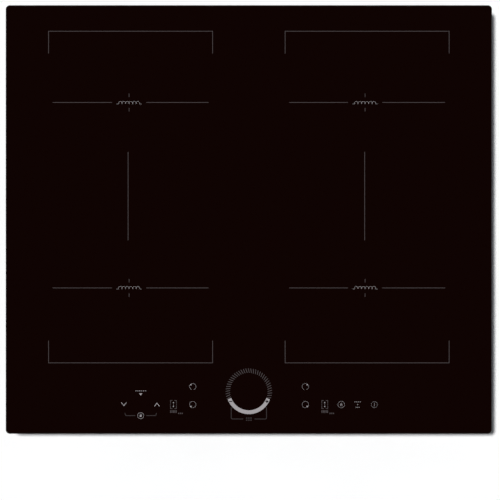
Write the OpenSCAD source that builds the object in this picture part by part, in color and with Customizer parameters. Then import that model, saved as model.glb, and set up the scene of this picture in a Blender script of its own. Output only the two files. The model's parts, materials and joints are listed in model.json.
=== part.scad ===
// Built-in induction hob, four round coils in two bridging pairs, touch controls.
// Millimetres. +Z up, front (controls) towards -Y, left is -X.
// The origin is the middle of the underside, on the plane the hob stands on.

/* [Glass] */
// Width of the glass
glass_w = 590; // [560:5:720]
// Depth of the glass, front to back
glass_d = 520; // [510:5:640]
// Thickness of the glass
glass_t = 4; // [3:0.5:5]
// Corner radius of the glass
glass_r = 5; // [3:1:20]
// Ground bevel round the top edge
glass_bevel = 0.8; // [0.2:0.1:1.5]
// Overall height, underside to the top of the glass
total_h = 58; // [57:1:75]

/* [Case] */
// Glass that overhangs the case on each side
rim_overhang = 17; // [16:1:30]
// Steel sheet thickness
sheet_t = 0.8; // [0.6:0.1:1.2]
// Corner radius of the case
case_r = 8; // [4:1:14]
// Gap from the case's top edge to the glass
case_gap = 1.5; // [1:0.5:2]
// Height of the side shelves above the floor
shelf_z = 14; // [14:1:16]
// Width of the shelf on the left and right
shelf_w = 40; // [34:1:48]
// Width of the shelf at the front and back
shelf_d = 14; // [10:1:18]
// Width of a vent slot
slot_w = 3; // [2:0.5:4]
// Width of the pan's weld flange under the shelf
pan_flange = 8; // [5:1:9]

/* [Seal and frame] */
// Width of the foam seal under the rim
seal_w = 9; // [6:1:10]
// Thickness of the foam seal
seal_t = 2.5; // [1.5:0.5:4]
// Distance from the glass edge to the seal
seal_inset = 3; // [1:1:4]
// Sheet thickness of the bonded frame
frame_t = 1.2; // [1:0.1:1.5]
// Width of the frame's flange under the glass
frame_flange = 8; // [7:1:9]
// Height of the frame's web
frame_web = 14; // [11:1:14]
// Thickness of the bonding bead
bead_t = 1; // [0.5:0.5:1]
// Width of the bonding bead
bead_w = 6; // [4:1:7]

/* [Coils] */
// Diameter of a coil former
coil_d = 180; // [150:5:184]
// Gap between the two coils of a pair
coil_gap = 45; // [10:5:46]
// From the case's side to the nearest coil
coil_side_gap = 44.5; // [30:0.5:60]
// From the case's back to the nearest coil
coil_back_gap = 11; // [11:1:14]
// Pitch of the winding's turns
turn_pitch = 3.2; // [2.8:0.1:4]
// Height of a ferrite bar
ferrite_h = 5; // [3:0.5:5]
// Thickness of a former's disc
former_t = 2.5; // [2:0.5:2.5]
// Height of the winding
winding_h = 4; // [3:0.5:4]
// Thickness of the insulation disc over a coil
pad_t = 2.6; // [1.5:0.1:2.6]
// Thickness of a coil plate
plate_t = 2; // [1.5:0.5:2]
// Gap from an insulation disc to the glass
coil_air = 0.4; // [0.3:0.1:1]

/* [Clamps] */
// Radius of a clamp screw
screw_r = 2.5; // [2:0.5:3]
// Distance a clamp rises as its screw is driven in
clamp_rise = 7.5; // [4:0.5:7.5]
// Length of a clamp arm from its pivot
arm_len = 42; // [38:1:60]
// Width of a clamp arm
arm_w = 16; // [14:1:18]
// From the middle of the case to a clamp, front to back
clamp_y = 150; // [120:5:170]

/* [Fan] */
// Radius of the impeller
rotor_r = 50; // [44:1:54]
// Number of impeller blades
blade_count = 32; // [20:1:40]
// Height of the fan housing
fan_h = 28; // [26:1:30]

/* [Terminal box] */
// Width of the terminal box recess
recess_w = 100; // [90:5:104]
// Depth of the recess, from the back of the case
recess_d = 78; // [70:1:84]
// Height of the recess above the floor
recess_z = 26; // [24:1:27]
// Radius of the cable inlet
inlet_r = 7; // [5:0.5:8]
// Wall of the terminal box
box_wall = 2; // [1.5:0.5:2.5]
// Wall beside the bore of the inlet block
inlet_wall = 5; // [3:0.5:8]

/* [Controls] */
// From the middle of the dial to the case's front
dial_inset = 34.5; // [32:0.5:40]
// Radius of a touch pad
pad_r = 4; // [3:0.5:4.5]

/* [Hidden] */
$fn = 48;
eps = 0.01;                       // overlap of pieces of one solid
far = 100;                        // cutters run at least this far past a face
fit = 0.05;                       // radial running fit of a shaft in its bore
gap = 0.3;                        // clearance between pieces that move apart

// Case levels and outlines
glass_z = total_h - glass_t;
case_w = glass_w - 2 * rim_overhang;
case_d = glass_d - 2 * rim_overhang;
case_top = glass_z - case_gap;
inner_w = case_w - 2 * sheet_t;
inner_d = case_d - 2 * sheet_t;
pan_w = case_w - 2 * shelf_w;
pan_d = case_d - 2 * shelf_d;
pan_side = pan_w / 2 - sheet_t;
shelf_top = shelf_z + sheet_t;

// Bonded frame
frame_w = inner_w - 0.4;
frame_d = inner_d - 0.4;
frame_top = glass_z - bead_t;
web_z = frame_top - frame_web;
screw_z = web_z + frame_web / 2;

// Coils: their levels, down from the glass
coil_r = coil_d / 2;
coil_x = case_w / 2 - coil_side_gap - coil_r;
coil_back_y = case_d / 2 - coil_back_gap - coil_r;
coil_front_y = coil_back_y - coil_d - coil_gap;
pad_z = glass_z - coil_air - pad_t;
winding_z = pad_z - winding_h;
former_z = winding_z - former_t;
ferrite_z = former_z - ferrite_h;
plate_z = ferrite_z - plate_t;
turn_r0 = 25.5;                   // middle of the innermost turn
rim_t = 2;                        // wall of a former's rims
turns = floor((coil_r - rim_t - turn_r0) / turn_pitch);
plate_margin = 2;                 // plate beyond the coils, front and back
plate_x0 = 44;                    // inner edge of a plate, on the beam
plate_x1 = inner_w / 2 - 5;
plate_y0 = coil_front_y - coil_r - plate_margin;
plate_y1 = coil_back_y + coil_r + plate_margin;
plate_bore_r = 18;                // opening under a coil's middle
lead_r = 1.6;
lead_x = 14;                      // from a coil's middle to where a lead passes its former

// Temperature sensors
sensor_r = 6;
stem_r = 2.5;
sensor_top = glass_z - gap;
sensor_head = 4;
tube_r = sensor_r + 0.4;          // guide tube in the former
ledge_t = 1;
clip_t = 1.3;
clip_z = former_z - gap - clip_t;
spring_wire = 0.4;
spring_r = 4.2;
spring_z0 = former_z + ledge_t;
spring_z1 = sensor_top - sensor_head;

// Beam and rails that carry the coil plates
beam_w = 100;
beam_t = 1.2;
beam_lip = 4;
rail_w = 15;
rail_h = 15;

// Boards
tray_t = 2;
tray_top = sheet_t + tray_t;
post_h = 4;
pcb_t = 1.6;
pcb_z = tray_top + post_h;
pcb_top = pcb_z + pcb_t;

// Fan and its duct
wall = 2;                         // plastic wall of the housing
rotor_gap = 12;                   // scroll space round the impeller
scroll_r = rotor_r + rotor_gap + wall;
fan_x = 0;
fan_y = case_d / 2 - shelf_d - sheet_t - 24 - scroll_r;
duct_w = 104;
duct_len = 30;
duct_end = fan_y - scroll_r - duct_len;
fan_z = sheet_t;
fan_top = fan_z + fan_h;
mouth_r = 38;                     // air intake
shaft_r = 1.5;
stator_r = 17;
cup_gap = 1.5;
cup_r = stator_r + cup_gap + 1.5;
rotor_z = fan_z + 4.2;
rotor_top = fan_top - wall - 3;
blade_len = 13;

// Power boards: one each side of the middle, under the front of the hob
board_len = 240;
board_y1 = duct_end - 3;
board_y0 = board_y1 - board_len;
board_x0 = 6;
board_x1 = pan_side - 5;
sink_x0 = 9;
sink_w = 46;
sink_base = 5;
sink_top = plate_z - beam_lip - 0.5;
fin_count = 9;
fin_t = 1.5;

// Parts on a power board: size, then places from the middle of the hob and the board's front edge
part_x = sink_x0 + sink_w;
power_cap = [32, 18, 22];
POWER_CAPS = [for (k = [0:3]) [part_x + 62, 24 + k * 52]];
power_relay = [28, 12, 16];
POWER_RELAYS = [for (k = [0:1]) [part_x + 20, 88 + k * 24]];
power_choke_r = 15;
power_choke_h = 13;
POWER_CHOKES = [for (k = [0:1]) [part_x + 32, 60 + k * 104]];
transistor = [5, 16, 21];
TRANSISTORS = [for (k = [0:4]) [part_x + 0.2, 30 + k * 40]];
choke_bore_r = 7;

// Terminal box, in the recess at the back right
recess_x1 = pan_side - 6;
recess_x0 = recess_x1 - recess_w;
recess_y0 = case_d / 2 - recess_d;
box_x0 = recess_x0 + gap;
box_x1 = recess_x1 - gap;
box_mid = (box_x0 + box_x1) / 2;
pin_r = 1.5;
barrel_r = 2.5;
hinge_y = recess_y0 + barrel_r + 0.9;
hinge_z = barrel_r + 0.6;
cover_z = hinge_z - barrel_r;
cover_t = 2;
box_z = cover_z + cover_t + gap;
box_y0 = hinge_y + barrel_r + 0.5;
inlet_z = (box_z + recess_z - box_wall) / 2;
inlet_len = 8;
block_w = 66;
block_d = 20;
block_h = 13;
block_y = case_d / 2 - 38;
wire_hole_r = 7;
wire_y = recess_y0 + 20;

// Filter boards, the right one in front of the terminal box, and their parts from the board's corner
filter_x0 = scroll_r + 14;
filter_x1 = board_x1;
filter_y0 = duct_end + 4;
filter_y1 = recess_y0 - 8;
filter_cap = [22, 13, 18];
FILTER_CAPS = [for (k = [0:1]) [12 + k * 30, 12]];
filter_relay = [18, 24, 16];
FILTER_RELAYS = [for (k = [0:1]) [12 + k * 30, 44]];
filter_choke_r = 16;
filter_choke_h = 18;
FILTER_CHOKES = [for (k = [0:1]) [94, 24 + k * 40]];

// Clamps
clamp_x = case_w / 2 - shelf_w / 2;
collar_t = 0.8;
collar_r = screw_r + 1.3;
collar_z = shelf_top - gap - collar_t - clamp_rise;
arm_t = 2;
arm_z = collar_z - gap - arm_t;
arm_lip = 2;
lip_t = 1.5;
head_h = 2.6;
head_r = screw_r + 2;
head_z = arm_z - gap - head_h;
nut_h = 5;
nut_r = collar_r + 1.7;
screw_top = shelf_top + nut_h + 4;

// Case screws
m4_r = 1.9;
m4_hole = 2;
m4_head_r = 3.8;
m4_head_h = 1.6;
m4_len = 5;
side_screw_y = case_d / 2 - 60;
end_screw_x = case_w / 2 - 70;

// Touch board
dial_y = -case_d / 2 + dial_inset;
key_y = dial_y - 17;
key_back_y = dial_y + 6;
touch_w = 320;
carrier_edge = 1.5;
touch_y0 = -frame_d / 2 + frame_t + carrier_edge + 0.5;
touch_y1 = dial_y + 19;
lock_y = max(key_y - 12, touch_y0 + pad_r + gap);
carrier_z = plate_z + 6;
carrier_t = 2;
touch_z = carrier_z + carrier_t + 1.6;
touch_top = touch_z + pcb_t;
leg_r = 3;
dial_r = 25;
ribbon_x = 72;
ribbon_w = 14;
ribbon_t = 0.9;
ribbon_gap = 4;                   // from the coil plates' front edge to the ribbon

// Names and sides of the four corners
CORNERS = [[-1, -1], [1, -1], [-1, 1], [1, 1]];
KEYS = [[-152, key_y], [-112, key_y], [-92, key_y], [-132, lock_y], [-68, key_y], [-68, key_back_y],
        [68, key_y], [68, key_back_y], [92, key_y], [112, key_y], [132, key_y], [152, key_y]];
DISPLAYS = [[-132, key_y], [0, dial_y], [-50, key_y], [-50, key_back_y], [50, key_y], [50, key_back_y]];

// ---------- shared shapes ----------

// Rectangle with round corners, centred
module round_rect(w, d, r) {
    square([w - 2 * r, d], center = true);
    square([w, d - 2 * r], center = true);
    for (x = [-1, 1], y = [-1, 1]) translate([x * (w / 2 - r), y * (d / 2 - r)]) circle(r);
}

module round_block(w, d, h, r) {
    linear_extrude(h) round_rect(w, d, r);
}

// Closed band round a rectangle: outer size w by d, band wide
module round_ring(w, d, h, r, band) {
    linear_extrude(h) difference() {
        round_rect(w, d, r);
        round_rect(w - 2 * band, d - 2 * band, max(r - band, 1));
    }
}

// Slot with round ends along X
module slot(len, w) {
    square([len - w, w], center = true);
    for (x = [-1, 1]) translate([x * (len - w) / 2, 0]) circle(w / 2);
}

// Tube or ring about Z
module pipe(r_out, r_in, h) {
    difference() {
        cylinder(r = r_out, h = h);
        translate([0, 0, -1]) cylinder(r = r_in, h = h + 2);
    }
}

// Plate with a bevelled top edge, made of exact planes, cylinders and cones
module bevelled_plate(w, d, t, r, b) {
    rotate([90, 0, 90]) linear_extrude(w - 2 * r, center = true)
        polygon([[-d / 2, 0], [d / 2, 0], [d / 2, t - b], [d / 2 - b, t], [-d / 2 + b, t], [-d / 2, t - b]]);
    rotate([90, 0, 0]) linear_extrude(d - 2 * r, center = true)
        polygon([[-w / 2, 0], [w / 2, 0], [w / 2, t - b], [w / 2 - b, t], [-w / 2 + b, t], [-w / 2, t - b]]);
    for (x = [-1, 1], y = [-1, 1]) translate([x * (w / 2 - r), y * (d / 2 - r), 0]) {
        cylinder(r = r, h = t - b);
        translate([0, 0, t - b]) cylinder(r1 = r, r2 = r - b, h = b);
    }
}

// ---------- tubes along a route ----------

function unit(v) = v / norm(v);
// Direction of travel at point i
function heading(p, i) = unit(p[min(i + 1, len(p) - 1)] - p[max(i - 1, 0)]);
// Side direction carried along the route, so that the tube doesn't twist
function carried(p, i, side) = let (t = heading(p, i)) unit(side - t * (side * t));
function sides_of(p, i = 0, side = [1, 0.01, 0.02]) =
    i >= len(p) ? [] : let (s = carried(p, i, side)) concat([s], sides_of(p, i + 1, s));

module tube(p, r, n = 8) {
    s = sides_of(p);
    points = [for (i = [0:len(p) - 1]) let (t = heading(p, i), u = cross(t, s[i]))
        for (k = [0:n - 1]) p[i] + r * (cos(360 * k / n) * s[i] + sin(360 * k / n) * u)];
    last = (len(p) - 1) * n;
    skin = [for (i = [0:len(p) - 2], k = [0:n - 1]) let (a = i * n, m = (k + 1) % n)
        [a + k, a + n + k, a + n + m, a + m]];
    polyhedron(points, concat([[for (k = [0:n - 1]) k]], skin, [[for (k = [n - 1:-1:0]) last + k]]));
}

// A route's corners rounded by a quadratic curve that starts bend before each corner
function rounded(p, bend, steps = 4) = concat([p[0]],
    [for (i = [1:len(p) - 2]) let (
        a = p[i] + unit(p[i - 1] - p[i]) * bend,
        c = p[i] + unit(p[i + 1] - p[i]) * bend)
        for (k = [0:steps]) let (t = k / steps) a * pow(1 - t, 2) + p[i] * 2 * t * (1 - t) + c * pow(t, 2)],
    [p[len(p) - 1]]);

// ---------- glass, seal and frame ----------

module glass_top() {
    color("#0c0807") translate([0, 0, glass_z]) bevelled_plate(glass_w, glass_d, glass_t, glass_r, glass_bevel);
}

module rim_seal() {
    color("#2a2a2b") translate([0, 0, glass_z - seal_t])
        round_ring(glass_w - 2 * seal_inset, glass_d - 2 * seal_inset, seal_t, glass_r, seal_w);
}

module bonding_bead() {
    inset = (frame_flange - bead_w) / 2;
    color("#b9bbbc") difference() {
        translate([0, 0, frame_top])
            round_ring(frame_w - 2 * inset, frame_d - 2 * inset, bead_t, case_r - inset, bead_w);
        control_window();
    }
}

// Space over the touch board, where the bead and the flange are cut back
module control_window() {
    translate([-touch_w / 2, touch_y0, frame_top - frame_t - 1]) cube([touch_w, frame_flange, far]);
}

// Screws that join the case to the frame: [place, turn about Z]
function rim_screws() = concat(
    [for (s = [-1, 1], y = [-side_screw_y, 0, side_screw_y]) [[s * case_w / 2, y, screw_z], s > 0 ? 0 : 180]],
    [for (s = [-1, 1], x = [-end_screw_x, end_screw_x]) [[x, s * case_d / 2, screw_z], s * 90]]);

// Holes for the rim screws, through the case wall and the frame's web
module rim_screw_holes(r) {
    for (s = rim_screws()) translate(s[0]) rotate([0, 0, s[1]]) rotate([0, 90, 0])
        cylinder(r = r, h = 12, center = true);
}

module glass_frame() {
    color("#a9adb0") difference() {
        union() {
            translate([0, 0, frame_top - frame_t]) round_ring(frame_w, frame_d, frame_t, case_r, frame_flange);
            translate([0, 0, web_z]) round_ring(frame_w, frame_d, frame_web - frame_t + eps, case_r, frame_t);
        }
        rim_screw_holes(m4_hole);
        control_window();
    }
}

// ---------- case ----------

// Space of the terminal box recess, grown by grow
module recess(grow) {
    translate([recess_x0 - grow, recess_y0 - grow, -far])
        cube([recess_w + 2 * grow, recess_d + far, far + recess_z + grow]);
}

module intake_slots() {
    pitch = 2 * slot_w;
    rows = floor((mouth_r - slot_w) / pitch);
    for (i = [-rows:rows]) translate([fan_x, fan_y + i * pitch, -1])
        linear_extrude(sheet_t + 2) slot(2 * sqrt(pow(mouth_r - 1, 2) - pow(i * pitch, 2)), slot_w);
}

// A row of slots, cut along Z into the floor
module floor_slots(count, pitch, len, y) {
    for (i = [0:count - 1]) translate([(i - (count - 1) / 2) * pitch, y, -1])
        linear_extrude(sheet_t + 2) rotate(90) slot(len, slot_w);
}

// A row of upright slots through the wall that faces +Y; the row's middle is at the origin
module wall_slots(count, pitch, len) {
    for (i = [0:count - 1]) translate([(i - (count - 1) / 2) * pitch, 0, 0])
        rotate([90, 0, 0]) linear_extrude(4 * sheet_t, center = true) rotate(90) slot(len, slot_w);
}

// Stiffening beads pressed up into the floor: [x, y, length, turn]
FLOOR_BEADS = [[-175, 0, 260, 90], [175, -45, 170, 90], [-120, 0, 260, 90], [120, -45, 170, 90]];
bead_up = 1.2;                    // how far a floor bead is pressed up
bead_width = 10;
vent_pitch = 8;
vent_len = 14;

module floor_beads(grow, h) {
    for (b = FLOOR_BEADS) translate([b[0], b[1], 0]) rotate(b[3])
        linear_extrude(h) slot(b[2] + 2 * grow, bead_width + 2 * grow);
}

// Walls and shelf of the case, open over the pan
module bottom_case() {
    slot_z = (shelf_z + web_z) / 2;
    color("#9ea3a6") difference() {
        translate([0, 0, shelf_z]) round_block(case_w, case_d, case_top - shelf_z, case_r);
        translate([0, 0, shelf_top]) round_block(inner_w, inner_d, far, case_r);
        translate([0, 0, shelf_z - 1])
            round_block(pan_w - 2 * sheet_t, pan_d - 2 * sheet_t, sheet_t + 2, case_r);
        recess(sheet_t);
        for (s = [-1, 1]) translate([s * (case_w - sheet_t) / 2, 0, slot_z]) rotate(90)
            wall_slots(14, vent_pitch, vent_len);
        translate([-case_w / 4, (case_d - sheet_t) / 2, slot_z]) wall_slots(12, vent_pitch, vent_len);
        rim_screw_holes(m4_r + 0.3);
        for (c = CORNERS) translate([c[0] * clamp_x, c[1] * clamp_y, shelf_z - 1])
            cylinder(r = collar_r + gap, h = sheet_t + 2);
    }
}

// Dished pan, its flange welded under the shelf
module bottom_pan() {
    color("#a2a7aa") difference() {
        union() {
            round_block(pan_w, pan_d, shelf_z, case_r);
            translate([0, 0, shelf_z - sheet_t])
                round_block(pan_w + 2 * pan_flange, pan_d + 2 * pan_flange, sheet_t, case_r);
        }
        recess(sheet_t);
        difference() {
            translate([0, 0, sheet_t]) round_block(pan_w - 2 * sheet_t, pan_d - 2 * sheet_t, shelf_z, case_r);
            floor_beads(sheet_t, sheet_t + bead_up);
        }
        translate([0, 0, -eps]) floor_beads(0, bead_up + eps);
        intake_slots();
        floor_slots(20, vent_pitch, vent_len, vent_len - pan_d / 2);
    }
}

// Box over the recess, let into the pan, the shelf and the case's back
module terminal_recess() {
    color("#9a9fa2") difference() {
        intersection() {
            recess(sheet_t);
            translate([-case_w / 2, -case_d / 2, 0]) cube([case_w, case_d, total_h]);
        }
        recess(0);
        translate([box_mid, wire_y, recess_z - 1]) cylinder(r = wire_hole_r, h = sheet_t + 2);
    }
}

// Pan-head screw about X, its head on the +X side of the origin
module m4_screw() {
    rotate([0, 90, 0]) difference() {
        union() {
            cylinder(r = m4_head_r, h = m4_head_h);
            translate([0, 0, -m4_len]) cylinder(r = m4_r, h = m4_len + eps);
        }
        for (a = [0, 90]) rotate(a) translate([0, 0, m4_head_h]) cube([4.4, 0.9, 1.6], center = true);
    }
}

// Screws that hold a coil plate down, on the beam and on the side rail
function plate_screws() = [for (s = [-1, 1], x = [plate_x0 + 3, inner_w / 2 - rail_w / 2 - 3],
    y = [plate_y0 + 12, (coil_front_y + coil_back_y) / 2, plate_y1 - 12]) [s * x, y, ferrite_z]];

module case_screws() {
    color("#c9cbcc") {
        for (s = rim_screws()) translate(s[0]) rotate([0, 0, s[1]]) m4_screw();
        for (p = plate_screws()) translate(p) rotate([0, -90, 0]) m4_screw();
    }
}

// ---------- carriers under the coils ----------

module centre_beam() {
    z0 = plate_z - beam_t;
    tab = 14;
    color("#b4b8ba") difference() {
        union() {
            translate([-beam_w / 2, -inner_d / 2, z0]) cube([beam_w, inner_d, beam_t]);
            for (s = [-1, 1]) translate([s * (beam_w - beam_t) / 2, 0, plate_z - beam_lip / 2])
                cube([beam_t, inner_d, beam_lip], center = true);
            for (s = [-1, 1]) translate([0, s * (inner_d - beam_t) / 2, plate_z - tab / 2])
                cube([beam_w, beam_t, tab], center = true);
        }
        plate_screw_holes();
    }
}

module plate_screw_holes() {
    for (p = plate_screws()) translate([p[0], p[1], plate_z - 5]) cylinder(r = m4_hole, h = 12);
}

module side_rails() {
    len = plate_y1 - plate_y0;
    color("#b4b8ba") difference() {
        for (s = [-1, 1]) translate([s * inner_w / 2, (plate_y0 + plate_y1) / 2, 0]) {
            translate([-s * rail_w / 2, 0, plate_z - beam_t / 2]) cube([rail_w, len, beam_t], center = true);
            translate([-s * beam_t / 2, 0, plate_z - rail_h / 2]) cube([beam_t, len, rail_h], center = true);
        }
        plate_screw_holes();
    }
}

module coil_plates() {
    w = plate_x1 - plate_x0;
    color("#c6c9cb") difference() {
        for (s = [-1, 1]) translate([s * (plate_x0 + plate_x1) / 2, (plate_y0 + plate_y1) / 2, plate_z])
            round_block(w, plate_y1 - plate_y0, plate_t, 6);
        for (s = [-1, 1], y = [coil_front_y, coil_back_y]) translate([s * coil_x, y, plate_z - 1]) {
            cylinder(r = plate_bore_r, h = plate_t + 2);
            for (a = [22.5:45:360]) rotate(a) translate([coil_r * 0.62, 0, 0])
                linear_extrude(plate_t + 2) slot(30, 8);
        }
        plate_screw_holes();
    }
}

// ---------- coils ----------

function coil_at(i) = [CORNERS[i][0] * coil_x, CORNERS[i][1] < 0 ? coil_front_y : coil_back_y, 0];

module ferrite_bars() {
    bar_w = 14;
    bar_r0 = 26;
    bar_r1 = coil_r - 6;
    color("#2f2f31") for (i = [0:3]) translate(coil_at(i))
        for (a = [0:45:315]) rotate(a) translate([bar_r0, -bar_w / 2, ferrite_z])
            cube([bar_r1 - bar_r0, bar_w, ferrite_h]);
}

module coil_former(i) {
    rim_h = winding_h - 0.5;
    color("#e4e0d4") translate(coil_at(i)) difference() {
        union() {
            translate([0, 0, former_z]) cylinder(r = coil_r, h = former_t);
            translate([0, 0, winding_z - eps]) pipe(coil_r, coil_r - rim_t, rim_h);
            translate([0, 0, winding_z - eps]) pipe(turn_r0 - turn_pitch / 2 - 0.2, turn_r0 - 4, rim_h);
            translate([0, 0, former_z]) cylinder(r = tube_r + rim_t, h = former_t + rim_h);
        }
        translate([0, 0, former_z + ledge_t]) cylinder(r = tube_r, h = far);
        translate([0, 0, former_z - 1]) cylinder(r = stem_r + fit, h = far);
        for (a = [22.5:45:360]) rotate(a) translate([coil_r * 0.62, 0, former_z - 1])
            linear_extrude(former_t + 2) slot(34, 9);
        for (s = [-1, 1]) {
            translate([s * lead_x, 0, former_z - 1]) cylinder(r = lead_r + 0.6, h = former_t + 2);
            translate([s * (lead_x + turn_r0) / 2, 0, winding_z + rim_h])
                cube([turn_r0 - lead_x, 2 * lead_r + 1.2, 2 * rim_h], center = true);
        }
    }
}

// The spiral's turns, drawn as touching rings with a flat underside
module coil_winding(i) {
    h = winding_h;
    color("#b5652c") translate([coil_at(i)[0], coil_at(i)[1], winding_z]) rotate_extrude($fn = 96) union() {
        translate([turn_r0 - turn_pitch / 2, 0]) square([turns * turn_pitch, h / 2]);
        for (k = [0:turns - 1]) translate([turn_r0 + k * turn_pitch, h / 2])
            intersection() {
                circle(r = h / 2);
                square([turn_pitch, h + 1], center = true);
            }
    }
}

module insulation_discs() {
    color("#d9cfb8") for (i = [0:3]) translate(coil_at(i)) translate([0, 0, pad_z])
        pipe(coil_r - 1, tube_r + 3, pad_t);
}

module sensor(i) {
    color("#e9e9e6") translate(coil_at(i)) {
        translate([0, 0, spring_z1]) cylinder(r = sensor_r, h = sensor_head);
        translate([0, 0, clip_z]) cylinder(r = stem_r, h = spring_z1 - clip_z + eps);
        translate([0, 0, clip_z]) cylinder(r = stem_r + 1, h = clip_t);
    }
}

module sensor_spring(i) {
    coils = 3.5;
    steps = 14;
    lift = (spring_z1 - spring_z0 - 2 * spring_wire) / (coils * steps);
    route = [for (k = [0:coils * steps]) [spring_r * cos(360 * k / steps), spring_r * sin(360 * k / steps),
        spring_z0 + spring_wire + k * lift]];
    color("#8f9396") translate(coil_at(i)) tube(route, spring_wire, 6);
}

// ---------- electronics ----------

// Corners of a board that its posts stand under: x0, y0, x1, y1
function post_places(b) = [for (x = [b[0] + 6, b[2] - 6], y = [b[1] + 6, b[3] - 6]) [x, y]];
POWER_BOARD = [board_x0, board_y0, board_x1, board_y1];
FILTER_BOARD = [filter_x0, filter_y0, filter_x1, filter_y1];

// Left and right copies
module both_sides() {
    for (s = [0, 1]) mirror([s, 0, 0]) children();
}

module board(b) {
    translate([b[0], b[1], pcb_z]) cube([b[2] - b[0], b[3] - b[1], pcb_t]);
}

// One tray: a sheet over the floor with posts, and a well over each floor bead
module board_tray() {
    edge = 3;
    color("#3a3c3e") difference() {
        union() {
            translate([-board_x1 - 2, board_y0 - edge, sheet_t])
                cube([2 * (board_x1 + 2), board_len + edge, tray_t]);
            both_sides() {
                translate([filter_x0 - 2, filter_y0 - 2, sheet_t])
                    cube([filter_x1 - filter_x0 + 4, filter_y1 - filter_y0 + 4, tray_t]);
                translate([filter_x0 + 10, board_y1 - 1, sheet_t]) cube([40, filter_y0 - board_y1 + 2, tray_t]);
                for (p = concat(post_places(POWER_BOARD), post_places(FILTER_BOARD)))
                    translate([p[0], p[1], sheet_t]) cylinder(r = 4, h = tray_t + post_h);
            }
        }
        floor_beads(sheet_t + gap, sheet_t + bead_up + gap);
    }
}

module power_boards() {
    color("#2c6b43") both_sides() board(POWER_BOARD);
}

module filter_boards() {
    color("#2c6b43") both_sides() board(FILTER_BOARD);
}

module heat_sinks() {
    pitch = (sink_w - fin_t) / (fin_count - 1);
    len = board_len - 24;
    color("#c3c6c8") both_sides() translate([sink_x0, board_y0 + 12, pcb_top]) {
        cube([sink_w, len, sink_base]);
        for (k = [0:fin_count - 1]) translate([k * pitch, 0, sink_base - eps])
            cube([fin_t, len, sink_top - pcb_top - sink_base]);
    }
}

// The left and right boards carry the same parts, mirrored
module on_power_boards(places) {
    both_sides() for (p = places) translate([p[0], board_y0 + p[1], pcb_top]) children();
}

module on_filter_boards(places) {
    both_sides() for (p = places) translate([filter_x0 + p[0], filter_y0 + p[1], pcb_top]) children();
}

module film_capacitors() {
    color("#d8d4c4") {
        on_power_boards(POWER_CAPS) cube(power_cap);
        on_filter_boards(FILTER_CAPS) cube(filter_cap);
    }
}

module filter_chokes() {
    color("#c07a35") {
        on_power_boards(POWER_CHOKES) pipe(power_choke_r, choke_bore_r, power_choke_h);
        on_filter_boards(FILTER_CHOKES) pipe(filter_choke_r, choke_bore_r, filter_choke_h);
    }
}

module transistors() {
    color("#1f2021") on_power_boards(TRANSISTORS) cube(transistor);
}

module relays() {
    color("#34567a") {
        on_power_boards(POWER_RELAYS) cube(power_relay);
        on_filter_boards(FILTER_RELAYS) cube(filter_relay);
    }
}

// ---------- fan ----------

module fan_outline(inset) {
    circle(r = scroll_r - inset, $fn = 96);
    translate([-duct_w / 2 + inset, -scroll_r - duct_len - (inset > 0 ? 1 : 0)])
        square([duct_w - 2 * inset, scroll_r + duct_len + (inset > 0 ? 1 : 0)]);
}

module fan_housing() {
    color("#2b2c2e") translate([fan_x, fan_y, fan_z]) difference() {
        linear_extrude(fan_h) fan_outline(0);
        translate([0, 0, wall]) linear_extrude(fan_h - 2 * wall) fan_outline(wall);
        translate([0, 0, -1]) cylinder(r = mouth_r + 1, h = wall + 2);
    }
}

module fan_motor() {
    color("#5f6265") translate([fan_x, fan_y, 0]) {
        translate([0, 0, rotor_z + 7]) cylinder(r = stator_r, h = fan_top - wall - rotor_z - 7);
        translate([0, 0, rotor_z]) cylinder(r = shaft_r, h = 8);
    }
}

module fan_rotor() {
    blade_t = 1;
    plate = 1.5;
    hub_h = 5.5;
    color("#1d1e20") translate([fan_x, fan_y, rotor_z]) {
        difference() {
            union() {
                cylinder(r = 4, h = hub_h);
                translate([0, 0, hub_h - plate]) cylinder(r = cup_r, h = plate);
                translate([0, 0, hub_h - eps]) pipe(cup_r, cup_r - plate, rotor_top - rotor_z - hub_h + eps);
                translate([0, 0, rotor_top - rotor_z - plate]) pipe(rotor_r, cup_r - plate, plate);
            }
            translate([0, 0, -1]) cylinder(r = shaft_r + fit, h = hub_h + 2);
        }
        pipe(rotor_r, rotor_r - blade_len + 2, plate);
        translate([0, 0, plate - eps]) linear_extrude(rotor_top - rotor_z - 2 * plate + 2 * eps)
            for (k = [0:blade_count - 1]) rotate(360 * k / blade_count) translate([rotor_r - blade_len / 2, 0])
                rotate(28) square([blade_len - 2.5, blade_t], center = true);
    }
}

// ---------- terminal box ----------

// Ends of the hinge: the box's ears stand outside the cover's barrel
ear_t = 2;
barrel_x0 = box_x0 + ear_t + 0.4;
barrel_x1 = box_x1 - ear_t - 0.4;

// Space of the inlet block, at the box's open back; it runs past the box by over
module inlet_space(over) {
    w = 2 * (inlet_r + inlet_wall);
    translate([box_mid - w / 2, case_d / 2 - inlet_len, box_z - over])
        cube([w, inlet_len + over, recess_z - box_wall - box_z + over]);
}

module terminal_box() {
    w = box_x1 - box_x0;
    d = case_d / 2 - box_y0;
    h = recess_z - box_z;
    color("#222325") difference() {
        union() {
            translate([box_x0, box_y0, box_z]) difference() {
                cube([w, d, h]);
                translate([box_wall, box_wall, -1])
                    cube([w - 2 * box_wall, d - 2 * box_wall, h - box_wall + 1]);
            }
            for (x = [box_x0, box_x1 - ear_t]) translate([x, hinge_y, 0]) {
                translate([0, 0, hinge_z]) rotate([0, 90, 0]) cylinder(r = barrel_r, h = ear_t);
                translate([0, 0, hinge_z]) cube([ear_t, box_y0 - hinge_y + 1, barrel_r]);
            }
        }
        inlet_space(1);
        translate([box_x0 - 1, hinge_y, hinge_z]) rotate([0, 90, 0]) cylinder(r = pin_r + 0.02, h = w + 2);
        translate([box_mid, wire_y, recess_z - box_wall - 1]) cylinder(r = wire_hole_r, h = box_wall + 2);
    }
}

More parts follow.
